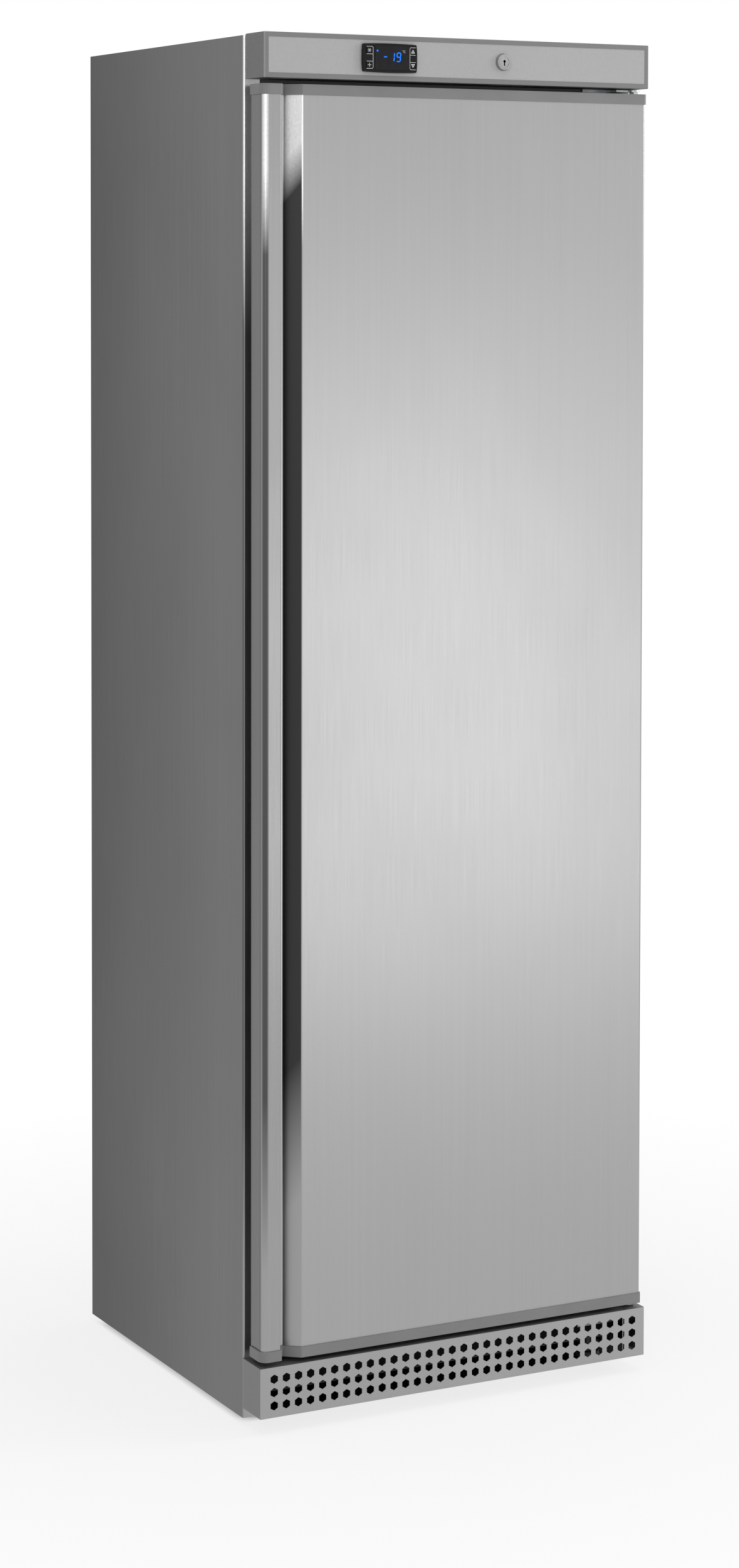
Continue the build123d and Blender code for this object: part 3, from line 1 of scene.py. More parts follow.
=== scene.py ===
"""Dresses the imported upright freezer: finishes, fine pieces, studio and camera. Metres throughout."""
import logging
import math
from contextlib import contextmanager
from dataclasses import dataclass, field
from enum import Enum
from typing import Callable, Dict, Iterator, List, Optional, Sequence, Tuple, Union

import bmesh
import bpy
from mathutils import Euler, Matrix, Vector


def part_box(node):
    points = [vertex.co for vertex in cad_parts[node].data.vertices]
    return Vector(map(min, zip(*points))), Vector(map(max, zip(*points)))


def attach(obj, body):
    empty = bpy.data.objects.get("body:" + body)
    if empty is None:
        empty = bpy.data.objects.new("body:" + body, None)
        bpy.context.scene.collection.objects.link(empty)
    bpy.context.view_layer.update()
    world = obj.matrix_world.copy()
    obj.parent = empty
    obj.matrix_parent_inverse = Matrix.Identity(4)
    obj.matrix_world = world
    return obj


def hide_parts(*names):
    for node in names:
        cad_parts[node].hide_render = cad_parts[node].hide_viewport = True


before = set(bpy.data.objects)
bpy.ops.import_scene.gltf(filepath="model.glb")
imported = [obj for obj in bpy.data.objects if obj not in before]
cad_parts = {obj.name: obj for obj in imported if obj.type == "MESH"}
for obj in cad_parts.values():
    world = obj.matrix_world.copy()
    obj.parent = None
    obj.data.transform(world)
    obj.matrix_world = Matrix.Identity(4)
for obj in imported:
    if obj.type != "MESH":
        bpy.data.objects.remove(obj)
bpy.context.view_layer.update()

LOG = logging.getLogger("freezer")
Triple = Tuple[float, float, float]
Pair = Tuple[float, float]
Piece = bpy.types.Object
Socket = bpy.types.NodeSocket
Paint = Union[Triple, Socket]
PlaceTest = Callable[[Vector, Vector], bool]
MM = 0.001
FACING = 0.9  # least part of a normal along the axis that a face looks to


class Body(Enum):
    """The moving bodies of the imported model."""

    CABINET = "cabinet"
    DOOR = "door"
    KEY_LEFT_UPPER = "key_left_upper"
    KEY_LEFT_LOWER = "key_left_lower"
    KEY_UP = "key_up"
    KEY_DOWN = "key_down"
    FAN = "fan"
    LEFT_ROLLER = "left_roller"
    RIGHT_ROLLER = "right_roller"
    LEFT_FOOT = "left_foot"
    RIGHT_FOOT = "right_foot"


class Axis(Enum):
    """Directions that a round primitive can lie along, with the turn that lays it there."""

    X = (0.0, math.pi / 2, 0.0)
    Y = (math.pi / 2, 0.0, 0.0)
    Z = (0.0, 0.0, 0.0)


# ==== Modelling by operators ==================================================================
def clear_selection() -> None:
    """Deselects every object."""
    bpy.ops.object.select_all(action="DESELECT")


def choose(piece: Piece) -> None:
    """Makes the piece the only selected and the active object."""
    clear_selection()
    piece.select_set(True)
    bpy.context.view_layer.objects.active = piece


@contextmanager
def editing(piece: Piece) -> Iterator[None]:
    """Opens the piece in edit mode for the operators inside the with block.

    Args:
        piece: the mesh object to edit.

    Returns:
        An iterator for the with statement; the piece is in object mode again after it.
    """
    choose(piece)
    bpy.ops.object.mode_set(mode="EDIT")
    try:
        yield
    finally:
        bpy.ops.object.mode_set(mode="OBJECT")


def pick_faces(piece: Piece, test: PlaceTest) -> None:
    """Selects, in edit mode, the faces whose middle and normal pass the test.

    Args:
        piece: the object in edit mode.
        test: called with a face's middle and normal.
    """
    bpy.ops.mesh.select_mode(type="FACE")
    bpy.ops.mesh.select_all(action="DESELECT")
    mesh = bmesh.from_edit_mesh(piece.data)
    for face in mesh.faces:
        if test(face.calc_center_median(), face.normal):
            face.select_set(True)
    bmesh.update_edit_mesh(piece.data)


def pick_edges(piece: Piece, test: PlaceTest) -> None:
    """Selects, in edit mode, the edges whose two ends pass the test.

    Args:
        piece: the object in edit mode.
        test: called with an edge's two ends.
    """
    bpy.ops.mesh.select_mode(type="EDGE")
    bpy.ops.mesh.select_all(action="DESELECT")
    mesh = bmesh.from_edit_mesh(piece.data)
    for edge in mesh.edges:
        if test(edge.verts[0].co, edge.verts[1].co):
            edge.select_set(True)
    bmesh.update_edit_mesh(piece.data)


def pick_all() -> None:
    """Selects everything in edit mode."""
    bpy.ops.mesh.select_all(action="SELECT")


def extruded(x: float = 0.0, y: float = 0.0) -> None:
    """Extrudes, in edit mode, what is selected by the given distances."""
    bpy.ops.mesh.extrude_region_move(TRANSFORM_OT_translate={"value": (x, y, 0)})


def inset(thickness: float, each: bool = False) -> None:
    """Insets, in edit mode, the selected faces, all together or each by itself."""
    bpy.ops.mesh.inset(thickness=thickness, use_individual=each)


def moved(y: float = 0.0, z: float = 0.0) -> None:
    """Moves, in edit mode, what is selected by the given distances."""
    bpy.ops.transform.translate(value=(0, y, z))


def settle(piece: Piece) -> Piece:
    """Applies the piece's place, turn and scale to its mesh."""
    choose(piece)
    bpy.ops.object.transform_apply(location=True, rotation=True, scale=True)
    return piece


def named(name: str) -> Piece:
    """Names the primitive that was just added and applies its place."""
    piece = bpy.context.active_object
    piece.name = name
    piece.data.name = name
    return settle(piece)


def block(name: str, low: Triple, high: Triple) -> Piece:
    """Adds a box between two corners as the start of a piece.

    Args:
        name: the piece's name.
        low: its lowest corner.
        high: its highest corner.

    Returns:
        The new object, with its place in its mesh.
    """
    clear_selection()
    middle = [(a + b) / 2 for a, b in zip(low, high)]
    bpy.ops.mesh.primitive_cube_add(size=1, location=middle)
    bpy.context.active_object.scale = [b - a for a, b in zip(low, high)]
    return named(name)


def drum(name: str, middle: Triple, radius: float, length: float, axis: Axis, sides: int = 48) -> Piece:
    """Adds a cylinder as the start of a turned piece.

    Args:
        name: the piece's name.
        middle: the middle of the cylinder.
        radius: its radius.
        length: its length along the axis.
        axis: the direction it lies along.
        sides: how many sides it has.

    Returns:
        The new object, with its place in its mesh.
    """
    clear_selection()
    bpy.ops.mesh.primitive_cylinder_add(
        vertices=sides, radius=radius, depth=length, location=middle, rotation=axis.value
    )
    return named(name)


def with_modifier(piece: Piece, kind: str, **settings: object) -> Piece:
    """Adds one modifier to the piece and applies it.

    Args:
        piece: the object to shape.
        kind: the modifier's type.
        settings: its properties.

    Returns:
        The same object.
    """
    choose(piece)
    modifier = piece.modifiers.new(kind.lower(), kind)
    for key, value in settings.items():
        setattr(modifier, key, value)
    bpy.ops.object.modifier_apply(modifier=modifier.name)
    return piece


def bevelled(piece: Piece, width: float, steps: int = 2, angle: float = 40.0) -> Piece:
    """Rounds the piece's sharp edges by the given width."""
    return with_modifier(
        piece, "BEVEL", width=width, segments=steps, limit_method="ANGLE", angle_limit=math.radians(angle)
    )


def cut_by(piece: Piece, cutter: Piece) -> Piece:
    """Takes the cutter's shape out of the piece and removes the cutter."""
    with_modifier(piece, "BOOLEAN", operation="DIFFERENCE", solver="EXACT", object=cutter)
    bpy.data.objects.remove(cutter)
    return piece


def copied(piece: Piece, name: str, move: Matrix) -> Piece:
    """Copies a piece with a mesh of its own and moves that mesh.

    Args:
        piece: the model to copy.
        name: the copy's name.
        move: the matrix applied to the copy's vertices.

    Returns:
        The copy.
    """
    twin = piece.copy()
    twin.data = piece.data.copy()
    twin.name = name
    twin.data.name = name
    bpy.context.scene.collection.objects.link(twin)
    twin.data.transform(move)
    return twin


def joined(parts: Sequence[Piece], name: str) -> Piece:
    """Joins several meshes into one piece.

    Args:
        parts: the objects to join.
        name: the joined piece's name.

    Returns:
        The joined object.
    """
    choose(parts[0])
    for part in parts:
        part.select_set(True)
    if len(parts) > 1:
        bpy.ops.object.join()
    whole = bpy.context.active_object
    whole.name = name
    whole.data.name = name
    return whole


def shift(x: float = 0.0, y: float = 0.0, z: float = 0.0) -> Matrix:
    """A move by the given distances."""
    return Matrix.Translation((x, y, z))


def close_outward(piece: Piece) -> None:
    """Merges doubled points and turns every face outward."""
    with editing(piece):
        pick_all()
        bpy.ops.mesh.remove_doubles(threshold=1e-6)
        bpy.ops.mesh.normals_make_consistent(inside=False)


# ==== Finishes ================================================================================
class Recipe:
    """Wires the nodes of one procedural material round a Principled shader."""

    def __init__(self, name: str) -> None:
        """Starts an empty material of that name."""
        self.material = bpy.data.materials.new(name)
        self.material.use_nodes = True
        self.tree = self.material.node_tree
        self.tree.nodes.clear()
        self.shader = self.node("ShaderNodeBsdfPrincipled")
        self.output = self.node("ShaderNodeOutputMaterial")
        self.wire(self.shader.outputs["BSDF"], self.output.inputs["Surface"])
        self.where = self.node("ShaderNodeTexCoord").outputs["Object"]

    def node(self, kind: str, **settings: object) -> bpy.types.Node:
        """Adds a node and sets its properties."""
        made = self.tree.nodes.new(kind)
        for key, value in settings.items():
            setattr(made, key, value)
        return made

    def wire(self, start: Socket, end: Socket) -> None:
        """Links two sockets."""
        self.tree.links.new(start, end)

    def fixed(self, **values: object) -> None:
        """Sets shader sockets by name, with underscores for spaces."""
        for key, value in values.items():
            self.shader.inputs[key.replace("_", " ").title().replace("Ior", "IOR")].default_value = value

    def stretched(self, scale: Triple) -> Socket:
        """Object coordinates multiplied by a scale for each direction."""
        mapping = self.node("ShaderNodeMapping")
        mapping.inputs["Scale"].default_value = scale
        self.wire(self.where, mapping.inputs["Vector"])
        return mapping.outputs["Vector"]

    def noise(
        self, scale: Union[float, Triple], detail: float = 2.0, rough: float = 0.5, warp: float = 0.0
    ) -> Socket:
        """A noise value whose scale may differ by direction.

        Args:
            scale: features per metre, in all directions or along x, y and z.
            detail: octaves.
            rough: weight of the finer octaves.
            warp: distortion.

        Returns:
            The noise value's socket.
        """
        made = self.node("ShaderNodeTexNoise")
        made.inputs["Scale"].default_value = 1.0
        made.inputs["Detail"].default_value = detail
        made.inputs["Roughness"].default_value = rough
        made.inputs["Distortion"].default_value = warp
        self.wire(self.stretched(scale if isinstance(scale, tuple) else (scale,) * 3), made.inputs["Vector"])
        return made.outputs["Fac"]

    def cells(self, scale: float, output: str = "Distance") -> Socket:
        """A Voronoi pattern's output at so many cells per metre."""
        made = self.node("ShaderNodeTexVoronoi", feature="F1")
        made.inputs["Scale"].default_value = scale
        self.wire(self.where, made.inputs["Vector"])
        return made.outputs[output]

    def ranged(self, value: Socket, start: Pair, end: Pair = (0.0, 1.0)) -> Socket:
        """Maps a value from one range to another and clamps it.

        Args:
            value: the value's socket.
            start: the range it comes in.
            end: the range it goes out in.

        Returns:
            The mapped value's socket.
        """
        made = self.node("ShaderNodeMapRange", clamp=True)
        for key, number in zip(("From Min", "From Max", "To Min", "To Max"), start + end):
            made.inputs[key].default_value = number
        self.wire(value, made.inputs["Value"])
        return made.outputs["Result"]

    def blend(self, share: Socket, below: Paint, above: Paint) -> Socket:
        """A colour that goes from below to above with the share.

        Args:
            share: zero for below and one for above.
            below: a colour or the socket of one.
            above: a colour or the socket of one.

        Returns:
            The blended colour's socket.
        """
        made = self.node("ShaderNodeMix", data_type="RGBA")
        self.wire(share, made.inputs[0])
        for place, paint in ((6, below), (7, above)):
            if isinstance(paint, tuple):
                made.inputs[place].default_value = (*paint, 1.0)
            else:
                self.wire(paint, made.inputs[place])
        return made.outputs[2]

    def banded(self, height: Socket, bands: "Bands") -> Socket:
        """A painted reflection: a colour that changes softly from a low over a middle to a high band, mottled in
        the high band.

        Args:
            height: the height that decides.
            bands: the three colours and where they change.

        Returns:
            The colour's socket.
        """
        # mottled speck of the painted reflection in the high band
        speck = self.ranged(self.noise((900.0, 900.0, 260.0), 2.0, 0.6), (0.35, 0.65), (0.82, 1.0))
        lower = self.blend(self.ranged(height, bands.low_edge), bands.low, bands.middle)
        rise = self.product(self.ranged(height, bands.high_edge), speck)
        return self.blend(rise, lower, bands.high)

    def leaning(self, lean: float) -> Socket:
        """The height plus the given share of x."""
        made = self.node("ShaderNodeMath", operation="MULTIPLY_ADD")
        self.wire(self.part_of(0), made.inputs[0])
        made.inputs[1].default_value = lean
        self.wire(self.part_of(2), made.inputs[2])
        return made.outputs[0]

    def relief(self, height: Socket, depth: float) -> None:
        """Bumps the shader's normal by a height in metres."""
        made = self.node("ShaderNodeBump")
        made.inputs["Strength"].default_value = 1.0
        made.inputs["Distance"].default_value = depth
        self.wire(height, made.inputs["Height"])
        self.wire(made.outputs["Normal"], self.shader.inputs["Normal"])

    def colour(self, socket: Socket) -> None:
        """Feeds the shader's colour."""
        self.wire(socket, self.shader.inputs["Base Color"])

    def toned(self, value: Socket, start: Pair, first: Triple, second: Triple) -> None:
        """Feeds a colour that goes from first to second as the value crosses the range."""
        self.colour(self.blend(self.ranged(value, start), first, second))

    def cover(self, share: Socket, paint: Paint) -> None:
        """Lays a colour over the shader's colour so far, by the share."""
        self.colour(self.blend(share, self.shader.inputs["Base Color"].links[0].from_socket, paint))

    def roughness(self, socket: Socket) -> None:
        """Feeds the shader's roughness."""
        self.wire(socket, self.shader.inputs["Roughness"])

    def part_of(self, axis: int) -> Socket:
        """One object coordinate, in metres."""
        made = self.node("ShaderNodeSeparateXYZ")
        self.wire(self.where, made.inputs["Vector"])
        return made.outputs[axis]

    def off_centre(self) -> Socket:
        """How far a point lies from the object's middle, to the left or the right."""
        made = self.node("ShaderNodeMath", operation="ABSOLUTE")
        self.wire(self.part_of(0), made.inputs[0])
        return made.outputs[0]

    def between(
        self, value: Socket, span: Pair, soft: float, soft_end: Optional[float] = None
    ) -> Socket:
        """One where a value lies in the span, and zero beyond its soft edges.

        Args:
            value: the value's socket.
            span: the span's two ends.
            soft: width of the ramp outside each end.
            soft_end: width of the ramp past the far end, where it differs.

        Returns:
            The share.
        """
        low, high = span
        past = soft if soft_end is None else soft_end
        return self.product(
            self.ranged(value, (low - soft, low)), self.ranged(value, (high, high + past), (1.0, 0.0))
        )

    def inside(self, axis: int, span: Pair, soft: float = 0.0005) -> Socket:
        """One where an object coordinate lies in the span, and zero beyond its soft edges."""
        return self.between(self.part_of(axis), span, soft)

    def sum_of(self, *values: Socket) -> Socket:
        """Adds up several values."""
        total = values[0]
        for value in values[1:]:
            made = self.node("ShaderNodeMath", operation="ADD")
            self.wire(total, made.inputs[0])
            self.wire(value, made.inputs[1])
            total = made.outputs[0]
        return total

    def product(self, first: Socket, second: Socket) -> Socket:
        """Multiplies two values."""
        made = self.node("ShaderNodeMath", operation="MULTIPLY")
        self.wire(first, made.inputs[0])
        self.wire(second, made.inputs[1])
        return made.outputs[0]


def grey(value: float) -> Triple:
    """A neutral colour."""
    return (value, value, value)


@dataclass(frozen=True)
class Bands:
    """Three colours by height for steel: painted reflections of a bright studio above and below, with a darker
    painted middle.
    """

    low: Triple
    middle: Triple
    high: Triple
    low_edge: Pair = (0.22, 0.45)
    high_edge: Pair = (1.62, 1.70)


def lighter(colour: Triple, share: float) -> Triple:
    """The colour multiplied by the share."""
    return tuple(min(1.0, channel * share) for channel in colour)


@dataclass(frozen=True)
class Finish:
    """A surface finish that is made once and shared by every piece that has it."""

    name: str
    colour: Triple

    def material(self) -> bpy.types.Material:
        """The finish's material, made at its first use."""
        known = bpy.data.materials.get(self.name)
        if known is None:
            recipe = Recipe(self.name)
            self.mix(recipe)
            known = recipe.material
            known.diffuse_color = (*self.colour, 1.0)
        return known

    def mix(self, recipe: Recipe) -> None:
        """Wires the finish's own nodes."""
        raise NotImplementedError


@dataclass(frozen=True)
class BrushedSteel(Finish):
    """Steel sheet brushed upright, with fine grain, longer streaks and faint handling marks."""

    roughness: Pair = (0.30, 0.44)
    streaks: float = 0.10
    grain: float = 0.00003

    def mix(self, recipe: Recipe) -> None:
        """Wires the brushed grain."""
        fine = recipe.noise((1500.0, 1500.0, 9.0), 3.0, 0.6)
        streak = recipe.noise((260.0, 260.0, 1.6), 4.0, 0.65)
        smear = recipe.noise((3.0, 3.0, 2.0), 3.0, 0.5, 0.4)
        both = recipe.sum_of(recipe.product(fine, streak), streak)
        dark, bright = (lighter(self.colour, 1 + way * self.streaks) for way in (-1, 1))
        recipe.toned(both, (0.45, 1.05), dark, bright)
        wear = recipe.ranged(smear, (0.3, 0.7), (-0.03, 0.03))
        recipe.roughness(recipe.sum_of(recipe.ranged(fine, (0.25, 0.75), self.roughness), wear))
        recipe.relief(recipe.sum_of(fine, streak), self.grain)
        recipe.fixed(metallic=1.0)


@dataclass(frozen=True)
class PanelSteel(BrushedSteel):
    """The cabinet's brushed steel, with a painted reflection on its front fold, a painted highlight and shade on
    the corner of that fold, and painted shade towards the back.
    """

    corner_x: float = 0.2984
    corner_y: float = -0.2318
    fold_y: float = -0.2333
    # painted highlight at the top, painted shade in the middle and a painted reflection below, on the fold's
    # corner
    corner: Bands = Bands(grey(0.34), grey(0.10), grey(0.80), high_edge=(1.48, 1.66))
    # painted reflection of the studio on the front fold, bright and mottled at the top
    fold: Bands = Bands(grey(0.36), grey(0.21), grey(1.0), high_edge=(1.46, 1.68))
    # painted shade: the sheet darkens towards the back
    back_shade: Triple = grey(0.030)
    back_shade_y: Pair = (-0.16, 0.30)
    edge_soft: float = 0.0008

    def mix(self, recipe: Recipe) -> None:
        """Wires the grain, then the painted shade towards the back, the painted reflection on the fold and the
        painted highlight and shade on its corner.
        """
        BrushedSteel.mix(self, recipe)
        depth, height = recipe.part_of(1), recipe.part_of(2)
        # painted shade towards the back
        recipe.cover(recipe.ranged(depth, self.back_shade_y, (0.0, 0.8)), self.back_shade)
        outer = recipe.ranged(recipe.off_centre(), (self.corner_x, self.corner_x + self.edge_soft))
        front = recipe.ranged(depth, (self.corner_y, self.corner_y - self.edge_soft))
        flat = recipe.ranged(depth, (self.fold_y, self.fold_y - self.edge_soft / 2))
        # painted reflection on the fold, then painted highlight and shade on its corner
        recipe.cover(flat, recipe.banded(height, self.fold))
        recipe.cover(recipe.product(outer, front), recipe.banded(height, self.corner))


@dataclass(frozen=True)
class FrameSteel(PanelSteel):
    """The cabinet's front frame, unlit where the grille and the door's top cap hide it."""

    hidden: Tuple[Triple, ...] = ((0.0, 0.0905, 0.012), (1.7900, 1.8100, 0.075))  # low, high and grey

    def mix(self, recipe: Recipe) -> None:
        """Wires the panel's steel, then the hidden strips of its front."""
        PanelSteel.mix(self, recipe)
        front = recipe.product(recipe.inside(0, (-0.2980, 0.2980)), recipe.inside(1, (-1.0, -0.2325)))
        for low, high, tone in self.hidden:
            recipe.cover(recipe.product(front, recipe.inside(2, (low, high))), grey(tone))


@dataclass(frozen=True)
class DoorSteel(BrushedSteel):
    """The door's brushed steel, with painted shade and painted reflection on the slanted wall of the grip and a
    painted highlight along the fold beside it.
    """

    wall_x: Pair = (-0.2575, -0.2374)
    fold_x: float = -0.2369
    # painted shade in the middle of the slanted wall and painted reflection above and below it, its edge leaning
    # with x
    wall: Bands = Bands(grey(0.33), grey(0.042), grey(0.62), low_edge=(0.67, 0.86), high_edge=(2.022, 2.080))
    # painted highlight along the fold, brightest at the top
    fold: Bands = Bands(grey(0.34), grey(0.30), grey(0.97), high_edge=(1.58, 1.66))
    lean: float = -1.5
    fold_half: float = 0.0006

    def mix(self, recipe: Recipe) -> None:
        """Wires the grain, then the painted shade and reflection on the wall and the painted highlight on its
        fold.
        """
        BrushedSteel.mix(self, recipe)
        x = recipe.part_of(0)
        wall = recipe.between(x, self.wall_x, 0.001, 0.0003)
        # painted shade and reflection on the wall
        recipe.cover(wall, recipe.banded(recipe.leaning(self.lean), self.wall))
        # painted highlight along the fold
        fold = recipe.between(x, (self.fold_x - self.fold_half, self.fold_x + self.fold_half), 0.0004)
        recipe.cover(fold, recipe.banded(recipe.part_of(2), self.fold))


@dataclass(frozen=True)
class HandleSteel(BrushedSteel):
    """The handle's brushed steel, with painted shade in the middle height and on the left flank, and a painted
    highlight and shade on its rounded corner.
    """

    flank_x: Pair = (-0.2948, -0.2941)
    slant: float = -0.523
    # painted highlight at the top and painted shade in the middle of the rounded corner
    corner: Bands = Bands(grey(0.34), grey(0.085), grey(0.80), high_edge=(1.57, 1.68))
    corner_span: Pair = (-0.1462, -0.1402)
    corner_soft: float = 0.0026
    # painted shade on the left flank
    flank_shade: Triple = grey(0.150)
    # painted shade in the middle height and its span
    middle_shade: Triple = grey(0.205)
    middle_shade_low: Pair = (0.25, 0.60)
    middle_shade_high: Pair = (1.30, 1.64)
    middle_shade_share: float = 0.55

    def mix(self, recipe: Recipe) -> None:
        """Wires the grain, the painted shade in the middle and on the flank, and the painted highlight and shade
        on the corner.
        """
        BrushedSteel.mix(self, recipe)
        height = recipe.part_of(2)
        # painted shade, strongest in the middle height
        rise = recipe.ranged(height, self.middle_shade_low, (0.0, self.middle_shade_share))
        shaded_middle = recipe.product(rise, recipe.ranged(height, self.middle_shade_high, (1.0, 0.0)))
        recipe.cover(shaded_middle, self.middle_shade)
        # painted shade on the left flank
        recipe.cover(recipe.ranged(recipe.part_of(0), self.flank_x, (1.0, 0.0)), self.flank_shade)
        back = recipe.ranged(recipe.part_of(1), (-1.0, 1.0), (-self.slant, self.slant))
        place = recipe.sum_of(recipe.part_of(0), back)
        # painted highlight and shade on the rounded corner
        recipe.cover(recipe.between(place, self.corner_span, self.corner_soft), recipe.banded(height, self.corner))


@dataclass(frozen=True)
class Galvanised(Finish):
    """Zinc-coated sheet with its crystal spangle and a dull bloom."""

    spangle: float = 85.0

    def mix(self, recipe: Recipe) -> None:
        """Wires the spangle."""
        crystal = recipe.node("ShaderNodeSeparateColor")
        recipe.wire(recipe.cells(self.spangle, "Color"), crystal.inputs[0])
        bloom = recipe.noise(9.0, 4.0, 0.6)
        both = recipe.sum_of(crystal.outputs[0], bloom)
        recipe.toned(both, (0.4, 1.6), lighter(self.colour, 0.86), lighter(self.colour, 1.12))
        recipe.roughness(recipe.ranged(crystal.outputs[1], (0.0, 1.0), (0.34, 0.52)))
        recipe.relief(bloom, 0.0001)
        recipe.fixed(metallic=0.85)


@dataclass(frozen=True)
class SatinPaint(Finish):
    """Stoved paint with a fine orange-peel skin and slightly worn gloss."""

    gloss: Pair = (0.38, 0.50)
    metallic: float = 0.0

    def mix(self, recipe: Recipe) -> None:
        """Wires the paint's skin."""
        peel = recipe.noise(420.0, 2.0, 0.5)
        cloud = recipe.noise(4.0, 3.0, 0.5)
        both = recipe.sum_of(cloud, peel)
        recipe.toned(both, (0.7, 1.3), lighter(self.colour, 0.96), lighter(self.colour, 1.04))
        recipe.roughness(recipe.ranged(peel, (0.3, 0.7), self.gloss))
        recipe.relief(peel, 0.00002)
        recipe.fixed(metallic=self.metallic)


@dataclass(frozen=True)
class EndedPaint(SatinPaint):
    """Paint on a folded front, with painted shade on its two ends and a painted highlight along the upright folds.
    """

    # painted shade on the end faces
    end: Triple = grey(0.143)
    end_x: float = 0.2960
    # painted highlight along the upright folds
    fold: Triple = grey(0.34)
    fold_x: float = 0.2950
    fold_y: float = -0.2885

    def mix(self, recipe: Recipe) -> None:
        """Wires the paint, then the painted shade on its ends and the painted highlight on its folds."""
        SatinPaint.mix(self, recipe)
        aside = recipe.off_centre()
        # painted shade on the ends
        recipe.cover(recipe.ranged(aside, (self.end_x - 0.0003, self.end_x)), self.end)
        outer = recipe.ranged(aside, (self.fold_x - 0.0004, self.fold_x))
        front = recipe.ranged(recipe.part_of(1), (self.fold_y, self.fold_y + 0.0004), (1.0, 0.0))
        # painted highlight along the folds
        recipe.cover(recipe.product(outer, front), self.fold)


@dataclass(frozen=True)
class GrillePaint(EndedPaint):
    """The grille's paint, with painted shade on the inside of the sheet and on the top ledge."""

    # painted shade, near black, on the inside of the sheet
    inner_shade: Triple = grey(0.004)
    # painted shade on the top ledge
    ledge_shade: Triple = grey(0.12)
    ledge_z: float = 0.0913
    inner_x: float = 0.2994
    inner_y: float = -0.2878
    inner_z: Pair = (0.0248, 0.0908)

    def mix(self, recipe: Recipe) -> None:
        """Wires the paint, then the painted shade inside the sheet and on the ledge."""
        EndedPaint.mix(self, recipe)
        across = recipe.inside(0, (-self.inner_x, self.inner_x), 0.0001)
        back_shade = recipe.inside(1, (self.inner_y, 1.0), 0.0001)
        within = recipe.product(recipe.product(across, back_shade), recipe.inside(2, self.inner_z, 0.0002))
        # painted shade inside the sheet
        recipe.cover(within, self.inner_shade)
        above = recipe.inside(2, (self.ledge_z, 1.0), 0.0001)
        # painted shade on the ledge
        recipe.cover(recipe.product(above, recipe.inside(1, (self.inner_y, 1.0), 0.0006)), self.ledge_shade)


@dataclass(frozen=True)
class MouldedPlastic(Finish):
    """Moulded plastic with a fine spark-eroded grain."""

    gloss: Pair = (0.45, 0.60)
    grain: float = 0.00003
    shine: float = 0.5

    def mix(self, recipe: Recipe) -> None:
        """Wires the moulded grain."""
        grain = recipe.noise(1900.0, 2.0, 0.6)
        flow = recipe.noise(14.0, 2.0, 0.5, 0.6)
        both = recipe.sum_of(grain, flow)
        recipe.toned(both, (0.7, 1.3), lighter(self.colour, 0.93), lighter(self.colour, 1.07))
        recipe.roughness(recipe.ranged(grain, (0.3, 0.7), self.gloss))
        recipe.relief(grain, self.grain)
        recipe.fixed(specular_ior_level=self.shine)


@dataclass(frozen=True)
class GlossLiner(Finish):
    """Smooth white vacuum-formed sheet with a faint ripple from forming."""

    def mix(self, recipe: Recipe) -> None:
        """Wires the ripple."""
        ripple = recipe.noise(22.0, 3.0, 0.45)
        haze = recipe.noise(160.0, 2.0, 0.5)
        recipe.toned(ripple, (0.3, 0.7), lighter(self.colour, 0.975), self.colour)
        recipe.roughness(recipe.ranged(haze, (0.3, 0.7), (0.18, 0.28)))
        recipe.relief(ripple, 0.0004)
        recipe.fixed(coat_weight=0.15, coat_roughness=0.08)


@dataclass(frozen=True)
class SoftRubber(Finish):
    """Rubber or soft extrusion, matt, with a dusty bloom."""

    dust: float = 1.35

    def mix(self, recipe: Recipe) -> None:
        """Wires the bloom."""
        bloom = recipe.noise(30.0, 4.0, 0.65)
        skin = recipe.noise(900.0, 2.0, 0.5)
        recipe.toned(bloom, (0.45, 0.75), self.colour, lighter(self.colour, self.dust))
        recipe.roughness(recipe.ranged(skin, (0.3, 0.7), (0.62, 0.8)))
        recipe.relief(skin, 0.00004)
        recipe.fixed(specular_ior_level=0.35)


@dataclass(frozen=True)
class BareMetal(Finish):
    """Plated or drawn metal with a tarnish that follows a noise."""

    tarnish: Triple = (0.5, 0.5, 0.5)
    gloss: Pair = (0.12, 0.24)
    spread: float = 60.0

    def mix(self, recipe: Recipe) -> None:
        """Wires the tarnish and fine drawing marks."""
        patch = recipe.noise(self.spread, 4.0, 0.6, 0.3)
        mark = recipe.noise(1400.0, 2.0, 0.6)
        recipe.toned(patch, (0.45, 0.72), self.colour, self.tarnish)
        scuffs = recipe.ranged(mark, (0.3, 0.7), (0.0, 0.06))
        recipe.roughness(recipe.sum_of(recipe.ranged(patch, (0.3, 0.7), self.gloss), scuffs))
        recipe.relief(mark, 0.00001)
        recipe.fixed(metallic=1.0)


@dataclass(frozen=True)
class LockMetal(BareMetal):
    """The lock's plated metal, with painted shade inside the keyhole."""

    keyhole_y: float = -0.2924
    # painted shade inside the keyhole
    keyhole_shade: Triple = grey(0.01)

    def mix(self, recipe: Recipe) -> None:
        """Wires the plating, then the painted shade in the keyhole's inside."""
        BareMetal.mix(self, recipe)
        # painted shade deeper than the plug's face
        recipe.cover(recipe.inside(1, (self.keyhole_y, 1.0), 0.0003), self.keyhole_shade)


